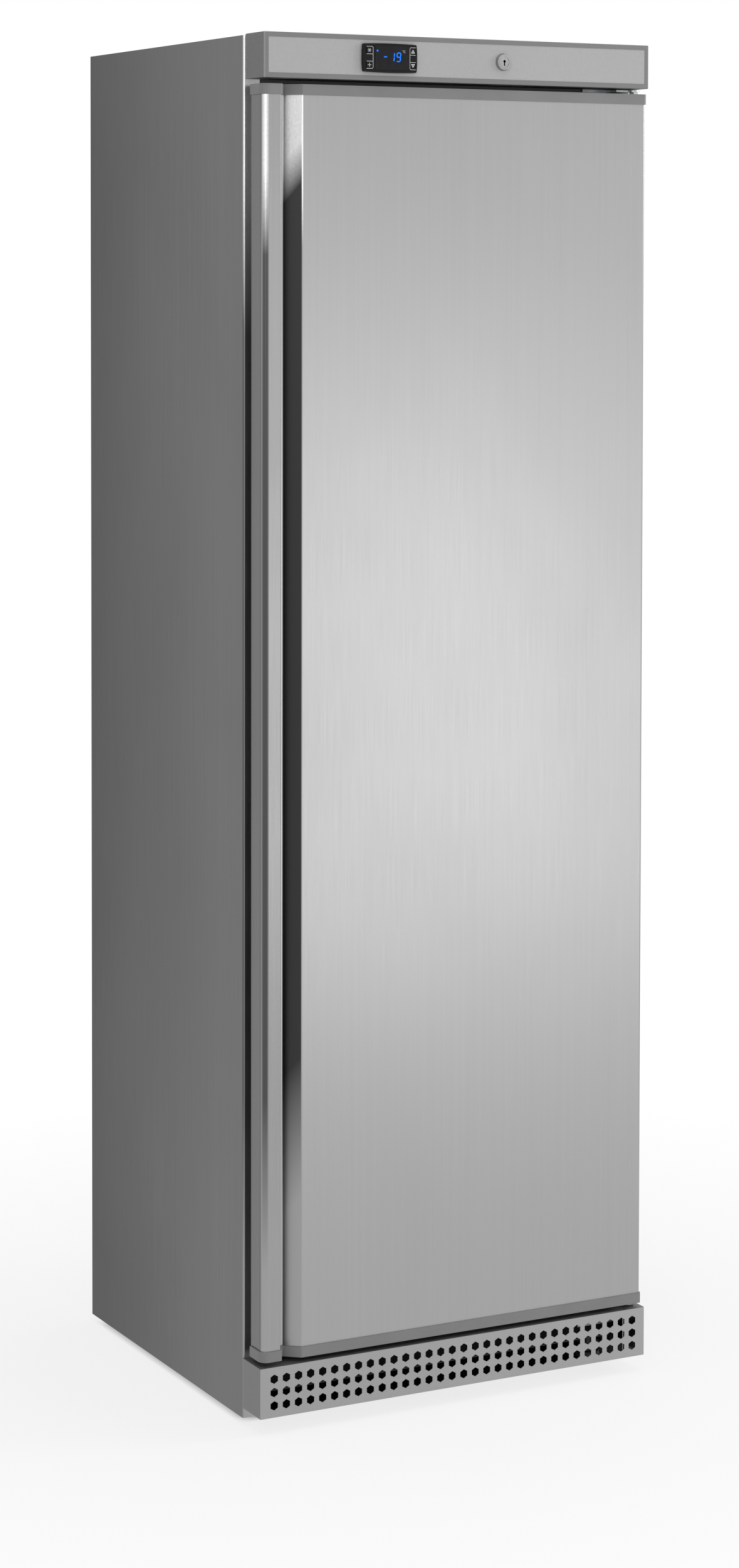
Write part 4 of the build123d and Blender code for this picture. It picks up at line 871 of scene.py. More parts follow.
@dataclass(frozen=True)
class FoamBlock(Finish):
    """Blown insulation with open cells and darker knots."""

    def mix(self, recipe: Recipe) -> None:
        """Wires the cells."""
        cell = recipe.cells(240.0)
        knot = recipe.noise(18.0, 4.0, 0.6)
        recipe.toned(knot, (0.35, 0.7), self.colour, lighter(self.colour, 0.8))
        recipe.roughness(recipe.ranged(cell, (0.0, 0.6), (0.95, 0.8)))
        recipe.relief(cell, 0.0012)
        recipe.fixed(specular_ior_level=0.2)


@dataclass(frozen=True)
class WovenSleeve(Finish):
    """A braided sleeve: two sets of fine strands that cross."""

    def mix(self, recipe: Recipe) -> None:
        """Wires the braid."""
        strands = []
        for turn in (0.8, -0.8):
            wave = recipe.node("ShaderNodeTexWave", bands_direction="DIAGONAL")
            wave.inputs["Scale"].default_value = 190.0
            mapping = recipe.node("ShaderNodeMapping")
            mapping.inputs["Rotation"].default_value = (turn, turn, turn)
            recipe.wire(recipe.where, mapping.inputs["Vector"])
            recipe.wire(mapping.outputs["Vector"], wave.inputs["Vector"])
            strands.append(wave.outputs["Fac"])
        weave = recipe.product(strands[0], strands[1])
        recipe.colour(recipe.blend(weave, self.colour, lighter(self.colour, 2.2)))
        recipe.roughness(recipe.ranged(weave, (0.0, 1.0), (0.85, 0.6)))
        recipe.relief(weave, 0.0005)


@dataclass(frozen=True)
class SmokedWindow(Finish):
    """The display's glossy dark cover, with a very faint smear."""

    def mix(self, recipe: Recipe) -> None:
        """Wires the smear."""
        smear = recipe.noise((70.0, 70.0, 40.0), 4.0, 0.6, 0.8)
        recipe.toned(smear, (0.4, 0.8), self.colour, lighter(self.colour, 1.5))
        recipe.roughness(recipe.ranged(smear, (0.35, 0.75), (0.10, 0.22)))
        recipe.relief(smear, 0.00001)
        recipe.fixed(specular_ior_level=0.14)


@dataclass(frozen=True)
class LitDiode(Finish):
    """A lit segment with a faint sparkle in its glow."""

    glow: float = 1.0

    def mix(self, recipe: Recipe) -> None:
        """Wires the glow."""
        spark = recipe.noise(700.0, 2.0, 0.5)
        tone = recipe.blend(recipe.ranged(spark, (0.3, 0.7)), lighter(self.colour, 0.8), self.colour)
        recipe.colour(tone)
        recipe.wire(tone, recipe.shader.inputs["Emission Color"])
        recipe.fixed(emission_strength=self.glow, roughness=0.6, specular_ior_level=0.05)


@dataclass(frozen=True)
class PaleFloor(Finish):
    """A pale studio floor that melts into the white backdrop, keeps the shadow and has a painted shadow under the
    cabinet and beside the right front foot.
    """

    near_lift: float = 0.80
    glossy_lift: float = 0.95
    reach: Pair = (0.45, 1.5)
    footprint_x: Pair = (-0.27, 0.27)
    footprint_y: Pair = (-0.196, 0.25)
    penumbra: float = 0.03
    foot_x: Pair = (0.26, 0.338)
    foot_y: Pair = (-0.197, -0.110)
    foot_penumbra: float = 0.012
    # colour of the painted shadow under the cabinet and beside the right front foot
    shade: Triple = grey(0.02)

    def mix(self, recipe: Recipe) -> None:
        """Wires the plain floor and lifts it for the camera and for reflections."""
        grain = recipe.noise(60.0, 3.0, 0.5)
        tone = recipe.blend(recipe.ranged(grain, (0.3, 0.7)), lighter(self.colour, 0.985), self.colour)
        under = self.beneath(recipe)
        # painted shadow under the cabinet and beside the right front foot
        recipe.colour(recipe.blend(under, tone, self.shade))
        recipe.fixed(roughness=0.9, specular_ior_level=0.0)
        ray = recipe.node("ShaderNodeLightPath")
        lit = recipe.node("ShaderNodeEmission")
        lit.inputs["Color"].default_value = (1.0, 1.0, 1.0, 1.0)
        distance = recipe.node("ShaderNodeVectorMath", operation="LENGTH")
        recipe.wire(recipe.where, distance.inputs[0])
        lift = recipe.ranged(distance.outputs["Value"], self.reach, (self.near_lift, 1.0))
        camera = recipe.product(ray.outputs["Is Camera Ray"], lift)
        glossy = recipe.ranged(ray.outputs["Is Glossy Ray"], (0.0, 1.0), (0.0, self.glossy_lift))
        open_floor = recipe.ranged(under, (0.0, 1.0), (1.0, 0.0))
        blend = recipe.node("ShaderNodeMixShader")
        recipe.wire(recipe.product(recipe.sum_of(camera, glossy), open_floor), blend.inputs[0])
        recipe.wire(recipe.shader.outputs["BSDF"], blend.inputs[1])
        recipe.wire(lit.outputs[0], blend.inputs[2])
        recipe.wire(blend.outputs[0], recipe.output.inputs["Surface"])

    def beneath(self, recipe: Recipe) -> Socket:
        """One under the cabinet and in the right front foot's shadow, and zero beside them."""
        under = recipe.product(
            recipe.inside(0, self.footprint_x, self.penumbra), recipe.inside(1, self.footprint_y, self.penumbra)
        )
        foot = recipe.product(
            recipe.inside(0, self.foot_x, self.foot_penumbra), recipe.inside(1, self.foot_y, self.foot_penumbra)
        )
        return recipe.ranged(recipe.sum_of(under, foot), (0.0, 1.0))


# side, right side and frame steel: the door's kind of steel, darker as painted shade, with painted reflection
# bands on the front fold and its corner and painted shade towards the back; the frame's bands are nearly even
SIDE_STEEL = PanelSteel("side steel", (0.138, 0.139, 0.141), streaks=0.07)
RIGHT_STEEL = FrameSteel(
    "right side steel", (0.138, 0.139, 0.141), streaks=0.07,
    corner=Bands(grey(0.30), grey(0.12), grey(0.16)), fold=Bands(grey(0.30), grey(0.18), grey(0.16)),
    hidden=((0.0, 0.0905, 0.012),),
)
FRAME_STEEL = FrameSteel(
    "frame steel", (0.138, 0.139, 0.141), streaks=0.07,
    corner=Bands(grey(0.21), grey(0.21), grey(0.24)), fold=Bands(grey(0.21), grey(0.21), grey(0.24)),
)
DOOR_STEEL = DoorSteel("door steel", (0.36, 0.36, 0.362), roughness=(0.28, 0.38), streaks=0.017)
HANDLE_STEEL = HandleSteel("handle steel", (0.33, 0.33, 0.332), roughness=(0.24, 0.34), streaks=0.04)
GALVANISED = Galvanised("galvanised sheet", (0.50, 0.52, 0.54))
WHITE_LINER = GlossLiner("white liner", (0.80, 0.82, 0.83))
FOAM = FoamBlock("insulation", (0.80, 0.72, 0.48))
# fascia: painted shade on its ends and a painted highlight along its upright folds
FASCIA_GREY = EndedPaint("fascia grey", (0.225, 0.225, 0.228))
INLAY_GREY = SatinPaint("inlay grey", (0.475, 0.475, 0.48), gloss=(0.30, 0.42))
BEZEL_BLACK = MouldedPlastic("bezel black", (0.012, 0.012, 0.013), gloss=(0.30, 0.42), grain=0.00001, shine=0.12)
WINDOW_DARK = SmokedWindow("display cover", (0.015, 0.015, 0.017))
KEY_BLACK = MouldedPlastic("key black", (0.015, 0.015, 0.016), gloss=(0.50, 0.62), shine=0.12)
CAP_GREY = MouldedPlastic("cap grey", (0.232, 0.234, 0.237), gloss=(0.48, 0.60))
# grille: painted shade on its ends, inside the sheet and on the ledge, and a painted highlight along its upright
# folds
GRILLE_GREY = GrillePaint(
    "grille grey", (0.39, 0.391, 0.394), gloss=(0.36, 0.48), metallic=0.3,
    end=grey(0.195), end_x=0.2996, fold=grey(0.42), fold_x=0.2988, fold_y=-0.2874,
)
CHROME = BareMetal("lock chrome", (0.40, 0.40, 0.405), tarnish=(0.33, 0.33, 0.335), gloss=(0.16, 0.24))
# lock plug: painted shade inside the keyhole
PLUG_CHROME = LockMetal("plug chrome", (0.42, 0.42, 0.425), tarnish=(0.36, 0.36, 0.365), gloss=(0.16, 0.24))
ZINC = BareMetal("zinc plate", (0.56, 0.57, 0.58), tarnish=(0.42, 0.43, 0.46), gloss=(0.24, 0.36))
LACQUER = SatinPaint("evaporator lacquer", (0.66, 0.68, 0.69), gloss=(0.32, 0.46))
COPPER = BareMetal("drawn copper", (0.72, 0.38, 0.24), tarnish=(0.42, 0.20, 0.12), gloss=(0.20, 0.36), spread=35.0)
SHELL_BLACK = SatinPaint("shell black", (0.022, 0.022, 0.023), gloss=(0.28, 0.42))
FIN_METAL = BareMetal("fin metal", (0.68, 0.69, 0.70), tarnish=(0.52, 0.53, 0.54), gloss=(0.28, 0.40), spread=20.0)
BLACK_PLASTIC = MouldedPlastic("black plastic", (0.030, 0.030, 0.031))
BLACK_RUBBER = SoftRubber("black rubber", (0.025, 0.025, 0.025), dust=1.8)
GASKET_GREY = SoftRubber("gasket grey", (0.16, 0.165, 0.17), dust=1.25)
WHITE_PLASTIC = MouldedPlastic("white plastic", (0.70, 0.70, 0.68))
SLEEVE = WovenSleeve("woven sleeve", (0.03, 0.03, 0.03))
BLUE_GLOW = LitDiode("blue diode", (0.008, 0.17, 1.0), glow=1.1)
PRINT_GREY = MouldedPlastic("printed grey", (0.72, 0.72, 0.73))
STUDIO_FLOOR = PaleFloor("studio floor", (0.86, 0.86, 0.86))

FINISHED_NODES: Tuple[Tuple[Finish, str], ...] = (
    (SIDE_STEEL, "left_side_panel top_panel"), (RIGHT_STEEL, "right_side_panel"), (FRAME_STEEL, "front_frame"),
    (GALVANISED, "back_panel base_pan fan_shroud rear_cover"), (WHITE_LINER, "inner_liner door_inner_panel"),
    (FOAM, "cabinet_foam door_foam"), (SHELL_BLACK, "base_frame compressor"),
    (ZINC, "roller_forks lock_nut lock_cam compressor_bolts screws"),
    (ZINC, "top_hinge_bracket bottom_hinge_bracket top_hinge_pin bottom_hinge_pin"),
    (LACQUER, "evaporator_shelves evaporator_links"), (WHITE_PLASTIC, "shelf_supports hinge_bushes"),
    (BLACK_PLASTIC, "air_probe relay_box fan_motor fan_blade cable_gland wall_spacers"),
    (BLACK_PLASTIC, "left_roller right_roller left_foot right_foot"), (BLACK_RUBBER, "compressor_grommets"),
    (FASCIA_GREY, "fascia_frame"), (INLAY_GREY, "fascia_inlay"), (BEZEL_BLACK, "controller_housing"),
    (WINDOW_DARK, "display_window"), (KEY_BLACK, "key_left_upper key_left_lower key_up key_down"),
    (CHROME, "lock_housing"), (PLUG_CHROME, "lock_plug"), (GRILLE_GREY, "kick_grille"), (FIN_METAL, "condenser"),
    (COPPER, "filter_drier discharge_pipe suction_pipe capillary_tube"), (SLEEVE, "wiring_loom"),
    (DOOR_STEEL, "door_skin"), (HANDLE_STEEL, "door_handle"), (CAP_GREY, "door_top_cap door_bottom_cap"),
    (GASKET_GREY, "door_gasket"),
)
NODE_FINISH: Dict[str, Finish] = {node: finish for finish, nodes in FINISHED_NODES for node in nodes.split()}


def dress(piece: Piece, finish: Finish) -> None:
    """Gives every material slot of the object the finish."""
    material = finish.material()
    if not piece.material_slots:
        piece.data.materials.append(material)
    for place in piece.material_slots:
        place.material = material


def complete(
    piece: Piece, body: Body, finish: Finish, replaced: Sequence[str] = (),
    smooth: Optional[float] = 35.0,
) -> None:
    """Finishes a new piece: normals, shading, material, body and the node that it stands for.

    Args:
        piece: the modelled object.
        body: the body that it rides on.
        finish: its finish.
        replaced: the CAD nodes that it stands for.
        smooth: shading angle in degrees, or None for flat faces.
    """
    close_outward(piece)
    choose(piece)
    if smooth is not None:
        bpy.ops.object.shade_smooth_by_angle(angle=math.radians(smooth))
    piece.data.materials.clear()
    dress(piece, finish)
    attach(piece, body.value)
    if replaced:
        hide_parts(*replaced)
    LOG.info("%s rides on %s: %d faces", piece.name, body.value, len(piece.data.polygons))


def place_of(node: str) -> Tuple[Vector, Vector]:
    """A CAD node's lowest and highest corners."""
    low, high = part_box(node)
    return Vector(low), Vector(high)


# ==== Controller ==============================================================================
class Segment(Enum):
    """The seven bars of a lit digit: the bar's middle in half sizes of the digit, and if it stands."""

    TOP = (0.0, 1.0, False)
    UPPER_RIGHT = (1.0, 0.5, True)
    LOWER_RIGHT = (1.0, -0.5, True)
    BOTTOM = (0.0, -1.0, False)
    LOWER_LEFT = (-1.0, -0.5, True)
    UPPER_LEFT = (-1.0, 0.5, True)
    MIDDLE = (0.0, 0.0, False)


class Mark(Enum):
    """What is printed on a key."""

    UP = "up"
    DOWN = "down"
    SNOW = "snow"
    CROSS = "cross"


@dataclass
class Controller:
    """The lit display, the printed outlines and the keys with their marks."""

    front_y: float = -0.29495
    digit_width: float = 5.4 * MM
    digit_height: float = 11.4 * MM
    bar: float = 1.4 * MM
    lean: float = 0.11
    middle_z: float = 1.8334
    film: float = 0.08 * MM
    arm_levels: Tuple[float, ...] = (1.8467, 1.8367, 1.8271, 1.8174)
    spines: Tuple[Pair, ...] = ((-0.1381, -0.1477), (-0.0826, -0.0738))
    key_trim: float = 0.75 * MM
    key_recess: float = 0.12 * MM
    key_dish: float = 0.12 * MM
    print_y: float = -0.2946
    print_line: float = 0.55 * MM
    print_corner: float = 2.2 * MM
    print_film: float = 0.1 * MM

    def bar_model(self, length: float) -> Piece:
        """One hexagonal bar lying along x at the origin, facing -y.

        Args:
            length: its length from tip to tip.

        Returns:
            The bar.
        """
        clear_selection()
        bpy.ops.mesh.primitive_plane_add(size=1, rotation=(math.pi / 2, 0, 0))
        bar = bpy.context.active_object
        bar.scale = (length - self.bar, self.bar, 1)
        settle(bar)
        for side in (-1, 1):
            with editing(bar):
                end = side * (length - self.bar) / 2
                pick_edges(bar, lambda a, b: abs(a.x - end) < 1e-6 and abs(b.x - end) < 1e-6)
                extruded(x=side * self.bar / 2)
                bpy.ops.mesh.merge(type="CENTER")
        with editing(bar):
            pick_all()
            extruded(y=-self.film)
        return bar

    def figure(self, name: str, x: float, bars: Sequence[Segment]) -> None:
        """One leaning figure made of bars.

        Args:
            name: the piece's name.
            x: the figure's middle.
            bars: which of the seven bars are lit.
        """
        lying = self.bar_model(self.digit_width - 0.3 * MM)
        standing = self.bar_model(self.digit_height / 2 - 0.3 * MM)
        parts: List[Piece] = []
        for number, segment in enumerate(bars):
            across, up, upright = segment.value
            z = up * self.digit_height / 2
            turn = Matrix.Rotation(math.atan(self.lean) - math.pi / 2 if upright else 0.0, 4, "Y")
            place = shift(x + across * self.digit_width / 2 + z * self.lean, self.front_y, self.middle_z + z)
            parts.append(copied(standing if upright else lying, f"{name}_bar{number}", place @ turn))
        for model in (lying, standing):
            bpy.data.objects.remove(model)
        complete(joined(parts, name), Body.CABINET, BLUE_GLOW, smooth=None)

    def reading(self) -> None:
        """The lit temperature, its dot and the degree mark."""
        self.figure("display_minus", -0.1195, [Segment.MIDDLE])
        self.figure("display_one", -0.1091, [Segment.UPPER_RIGHT, Segment.LOWER_RIGHT])
        nine = [part for part in Segment if part is not Segment.LOWER_LEFT]
        self.figure("display_nine", -0.0997, nine)
        dot = drum("display_dot", (-0.1316, self.front_y - self.film / 2, 1.8413), 1.3 * MM, self.film, Axis.Y, 24)
        bevelled(dot, self.film / 3, 1)
        complete(dot, Body.CABINET, BLUE_GLOW)
        clear_selection()
        bpy.ops.object.text_add(rotation=(math.pi / 2, 0, 0))
        sign = bpy.context.active_object
        sign.name = "display_unit"
        sign.data.body = "°C"
        sign.data.size = 4.6 * MM
        sign.data.extrude = self.film / 2
        sign.location = (-0.0943, self.front_y - self.film / 2, 1.8394)
        bpy.ops.object.convert(target="MESH")
        settle(sign)
        complete(sign, Body.CABINET, PRINT_GREY, smooth=None)

    def outline(self, name: str, spine_x: float, end_x: float) -> None:
        """The printed frame round two keys, open towards the controller's end.

        Args:
            name: the piece's name.
            spine_x: the middle of its upright line.
            end_x: where its arms end.
        """
        line, corner, front = self.print_line, self.print_corner, self.print_y
        top, bottom = self.arm_levels[0], self.arm_levels[-1]
        way = 1 if end_x > spine_x else -1
        far_x = end_x + way * corner
        clear_selection()
        bpy.ops.mesh.primitive_plane_add(
            size=1, location=((spine_x + far_x) / 2, front, (top + bottom) / 2), rotation=(math.pi / 2, 0, 0)
        )
        ring = bpy.context.active_object
        ring.scale = (abs(far_x - spine_x) + line, top - bottom + line, 1)
        settle(ring)
        with editing(ring):
            pick_all()
            bpy.ops.mesh.bevel(affect="VERTICES", offset=corner, segments=6)
            pick_all()
            inset(line)
            bpy.ops.mesh.delete(type="FACE")
            pick_faces(ring, lambda middle, normal: (middle.x - end_x) * way > 0)
            bpy.ops.mesh.delete(type="FACE")
            pick_all()
            extruded(y=-self.print_film)
        left, right = sorted((spine_x, end_x))
        arms = [
            block("arm", (left, front - self.print_film, level - line / 2), (right, front, level + line / 2))
            for level in self.arm_levels[1:-1]
        ]
        whole = joined([ring, *arms], name)
        complete(whole, Body.CABINET, PRINT_GREY, smooth=None)

    def key(self, body: Body, mark: Mark) -> None:
        """One dished key with its printed mark.

        Args:
            body: the key's body, which is also its node's name.
            mark: what is printed on it.
        """
        low, high = place_of(body.value)
        middle = (low + high) / 2
        trim = self.key_trim
        near = (low.x + trim, low.y + self.key_recess, low.z + trim)
        cap = block(f"{body.value}_cap", near, (high.x - trim, high.y, high.z - trim))
        with editing(cap):
            pick_edges(cap, lambda a, b: abs(a.y - b.y) > 1 * MM)
            bpy.ops.mesh.bevel(offset=1.0 * MM, segments=4)
            pick_faces(cap, lambda face, normal: normal.y < -FACING)
            inset(0.5 * MM)
            inset(0.4 * MM)
            moved(y=self.key_dish)
        bevelled(cap, 0.15 * MM, 2)
        complete(cap, body, KEY_BLACK, (body.value,))
        self.mark(body, mark, (middle.x, low.y + self.key_recess + self.key_dish, middle.z))

    def mark(self, body: Body, mark: Mark, place: Triple) -> None:
        """The mark printed on a key.

        Args:
            body: the key that carries it.
            mark: what is printed on it.
            place: the middle of the key's face.
        """
        x, y, z = place
        film = self.print_film
        name = f"{body.value}_mark"
        if mark in (Mark.UP, Mark.DOWN):
            up = mark is Mark.UP
            clear_selection()
            bpy.ops.mesh.primitive_circle_add(
                vertices=3, radius=3.3 * MM, fill_type="NGON", location=(x, y, z + (-0.9 if up else 0.9) * MM),
                rotation=(math.pi / 2, 0 if up else math.pi, 0),
            )
            piece = bpy.context.active_object
            piece.name = name
            settle(piece)
            with editing(piece):
                pick_all()
                inset(0.95 * MM)
                bpy.ops.mesh.delete(type="FACE")
                pick_all()
                extruded(y=-film)
        else:
            arms = 3 if mark is Mark.SNOW else 2
            parts = []
            for number in range(arms):
                arm = block(f"{name}_{number}", (-2.6 * MM, -film, -0.3 * MM), (2.6 * MM, 0, 0.3 * MM))
                turn = Matrix.Rotation(math.pi * number / arms, 4, "Y")
                parts.append(copied(arm, f"{name}_arm{number}", shift(x, y, z) @ turn))
                bpy.data.objects.remove(arm)
            piece = joined(parts, name)
        complete(piece, body, PRINT_GREY, smooth=None)

    def build(self) -> None:
        """Builds the display, the keys and the outlines round them."""
        self.reading()
        for name, (spine_x, end_x) in zip(("left_key_frame", "right_key_frame"), self.spines):
            self.outline(name, spine_x, end_x)
        for body, mark in (
            (Body.KEY_LEFT_UPPER, Mark.SNOW), (Body.KEY_LEFT_LOWER, Mark.CROSS),
            (Body.KEY_UP, Mark.UP), (Body.KEY_DOWN, Mark.DOWN),
        ):
            self.key(body, mark)


# ==== Fasteners ===============================================================================
@dataclass
class CrossScrews:
    """The pan-head screws of the hinge feet and the rear cover."""

    hinge_x: float = 0.2577
    hinge_spread: float = 0.024
    hinge_levels: Pair = (1.8161, 0.0775)
    hinge_face_y: float = -0.23645
    cover_x: float = 0.270
    cover_levels: Pair = (0.030, 0.226)
    cover_face_y: float = 0.28505
    recess: Pair = (1.3 * MM, 0.35 * MM)

    def model(self, radius: float, height: float, shank: float, length: float) -> Piece:
        """One screw at the origin, its head towards -y.

        Args:
            radius: the head's radius.
            height: the head's height.
            shank: the shank's radius.
            length: the shank's length.

        Returns:
            The screw.
        """
        screw = drum("screw_model", (0, -height / 2, 0), radius, height, Axis.Y, 28)
        with editing(screw):
            pick_faces(screw, lambda middle, normal: normal.y < -FACING)
            bpy.ops.transform.resize(value=(0.72, 1, 0.72))
            pick_faces(screw, lambda middle, normal: normal.y > FACING)
            inset(radius - shank)
            extruded(y=length)
        bevelled(screw, 0.25 * MM, 2)
        for half_x, half_z in (self.recess, self.recess[::-1]):
            arm = block("recess", (-half_x, -height - 1 * MM, -half_z), (half_x, -height + 1.1 * MM, half_z))
            cut_by(screw, arm)
        return screw

    def build(self) -> None:
        """Copies the two kinds of screw to their places."""
        small = self.model(4.0 * MM, 2.0 * MM, 2.0 * MM, 6.0 * MM)
        large = self.model(4.5 * MM, 2.5 * MM, 2.5 * MM, 2.5 * MM)
        parts = []
        for side in (-1, 1):
            for z in self.cover_levels:
                turn = Matrix.Rotation(math.pi, 4, "Z") @ Matrix.Rotation(0.3 * side + z, 4, "Y")
                parts.append(copied(small, "screw", shift(side * self.cover_x, self.cover_face_y, z) @ turn))
            for z in self.hinge_levels:
                x = self.hinge_x + side * self.hinge_spread
                turn = Matrix.Rotation(0.5 * side + z, 4, "Y")
                parts.append(copied(large, "screw", shift(x, self.hinge_face_y, z) @ turn))
        for model in (small, large):
            bpy.data.objects.remove(model)
        complete(joined(parts, "cross_screws"), Body.CABINET, ZINC, ("screws",))


# ==== Door gasket =============================================================================
@dataclass
class BellowsGasket:
    """The magnetic gasket: a bellows between a base strip and a flat magnet strip."""

    half_width: float = 0.286
    low_z: float = 0.108
    high_z: float = 1.787
    band: float = 0.022
    rear_y: float = -0.24845
    front_y: float = -0.23425
    name: str = "bellows_gasket"
    profile: List[Pair] = field(default_factory=lambda: [
        (-5.6, 0.0), (5.6, 0.0), (5.6, 1.6), (3.4, 2.6), (3.4, 4.6), (7.6, 6.0), (9.2, 7.4), (7.8, 8.8),
        (10.4, 10.0), (10.9, 11.2), (10.4, 13.0), (9.4, 14.0), (-9.4, 14.0), (-10.4, 13.0), (-10.9, 11.2),
        (-10.4, 10.0), (-6.4, 8.8), (-8.4, 7.2), (-6.6, 5.6), (-3.4, 4.6), (-3.4, 2.6), (-5.6, 1.6),
    ])

    def ring(self, corner: Tuple[float, float, int, int]) -> List[Vector]:
        """The profile's points on the mitre of one corner."""
        x, z, out_x, out_z = corner
        return [
            Vector((x + out_x * across * MM, self.rear_y + rise * MM, z + out_z * across * MM))
            for across, rise in self.profile
        ]

    def build(self) -> None:
        """Carries the profile round the door and closes it at mitred corners."""
        middle = self.half_width - self.band / 2
        low, high = self.low_z + self.band / 2, self.high_z - self.band / 2
        corners = [(-middle, low, -1, -1), (middle, low, 1, -1), (middle, high, 1, 1), (-middle, high, -1, 1)]
        clear_selection()
        bpy.ops.mesh.primitive_circle_add(vertices=len(self.profile), radius=0.01, fill_type="NOTHING")
        gasket = bpy.context.active_object
        gasket.name = self.name
        for vertex, place in zip(gasket.data.vertices, self.ring(corners[0])):
            vertex.co = place
        for corner in corners[1:]:
            with editing(gasket):
                bpy.ops.mesh.select_mode(type="EDGE")
                if corner is corners[1]:
                    pick_all()
                bpy.ops.mesh.extrude_edges_move(TRANSFORM_OT_translate={"value": (0, 0, 0)})
                mesh = bmesh.from_edit_mesh(gasket.data)
                for vertex, place in zip((v for v in mesh.verts if v.select), self.ring(corner)):
                    vertex.co = place
                bmesh.update_edit_mesh(gasket.data)
        with editing(gasket):
            bpy.ops.mesh.select_mode(type="EDGE")
            bpy.ops.mesh.select_all(action="DESELECT")
            mesh = bmesh.from_edit_mesh(gasket.data)
            for edge in mesh.edges:
                edge.select_set(edge.is_boundary)
            bmesh.update_edit_mesh(gasket.data)
            bpy.ops.mesh.bridge_edge_loops()
        bevelled(gasket, 0.5 * MM, 2, 30.0)
        complete(gasket, Body.DOOR, GASKET_GREY, ("door_gasket",), smooth=50.0)


# ==== Rollers, feet, spacers and gland ========================================================
@dataclass
class Footing:
    """What the cabinet stands on: two levelling feet and two rear rollers."""

    pad_radius: float = 18.0 * MM
    pad_height: float = 8.0 * MM
    stem_radius: float = 5.0 * MM
    stem_top: float = 52.0 * MM
    thread_pitch: float = 1.5 * MM
    roller_radius: float = 17.0 * MM
    roller_half: float = 11.0 * MM
    axle_radius: float = 4.05 * MM

    def foot(self, body: Body, x: float, y: float) -> None:
        """One foot: a ribbed pad, a hexagon to turn it and a threaded stem.

        Args:
            body: the foot's body, which is also its node's name.
            x: the stem's place.
            y: the stem's place.
        """
        pad = drum(f"{body.value}_pad", (x, y, self.pad_height / 2), self.pad_radius, self.pad_height, Axis.Z, 36)
        with editing(pad):
            pick_faces(pad, lambda middle, normal: normal.z > FACING)
            bpy.ops.transform.resize(value=(0.86, 0.86, 1))
            inset(3.0 * MM)
            moved(z=-1.2 * MM)
            pick_faces(pad, lambda middle, normal: normal.z < -FACING)
            inset(2.5 * MM)
        bevelled(pad, 0.5 * MM, 2)
        nut = drum("nut", (x, y, 9.0 * MM), 9.5 * MM, 5.0 * MM, Axis.Z, 6)
        bevelled(nut, 0.5 * MM, 2, 20.0)
        stem_middle = (self.pad_height + self.stem_top) / 2
        stem = drum("stem", (x, y, stem_middle), self.stem_radius, self.stem_top - self.pad_height, Axis.Z, 20)
        with editing(stem):
            pick_edges(stem, lambda a, b: abs(a.z - b.z) > 5 * MM)
            bpy.ops.mesh.subdivide(number_cuts=57)
        for vertex in stem.data.vertices:
            turn = math.atan2(vertex.co.y - y, vertex.co.x - x)
            phase = (vertex.co.z / self.thread_pitch - turn / math.tau) % 1.0
            share = 1.0 - 0.13 * abs(2 * phase - 1)
            if abs(vertex.co.z - self.stem_top) > 1e-6:
                vertex.co.x = x + (vertex.co.x - x) * share
                vertex.co.y = y + (vertex.co.y - y) * share
        whole = joined([pad, nut, stem], f"{body.value}_screw_foot")
        complete(whole, body, BLACK_PLASTIC, (body.value,))

    def roller(self, body: Body) -> None:
        """One rear roller with a rounded tread and a recessed hub.

        Args:
            body: the roller's body, which is also its node's name.
        """
        low, high = place_of(body.value)
        middle = (low + high) / 2
        wheel = drum(f"{body.value}_wheel", tuple(middle), self.roller_radius, 2 * self.roller_half, Axis.X, 48)
        with editing(wheel):
            pick_faces(wheel, lambda face, normal: abs(normal.x) > FACING)
            inset(4.0 * MM, each=True)
        for side in (-1, 1):
            with editing(wheel):
                pick_faces(
                    wheel, lambda face, normal: normal.x * side > FACING and (face - middle).yz.length < 1 * MM
                )
                extruded(x=-side * 2.4 * MM)
                inset(4.5 * MM)
                extruded(x=side * 2.4 * MM)
        bevelled(wheel, 0.8 * MM, 3)
        bore = drum("bore", tuple(middle), self.axle_radius, 4 * self.roller_half, Axis.X, 32)
        cut_by(wheel, bore)
        complete(wheel, body, BLACK_PLASTIC, (body.value,))

    def build(self) -> None:
        """Builds both feet and both rollers."""
        for body in (Body.LEFT_FOOT, Body.RIGHT_FOOT):
            low, high = place_of(body.value)
            self.foot(body, (low.x + high.x) / 2, (low.y + high.y) / 2)
        for body in (Body.LEFT_ROLLER, Body.RIGHT_ROLLER):
            self.roller(body)


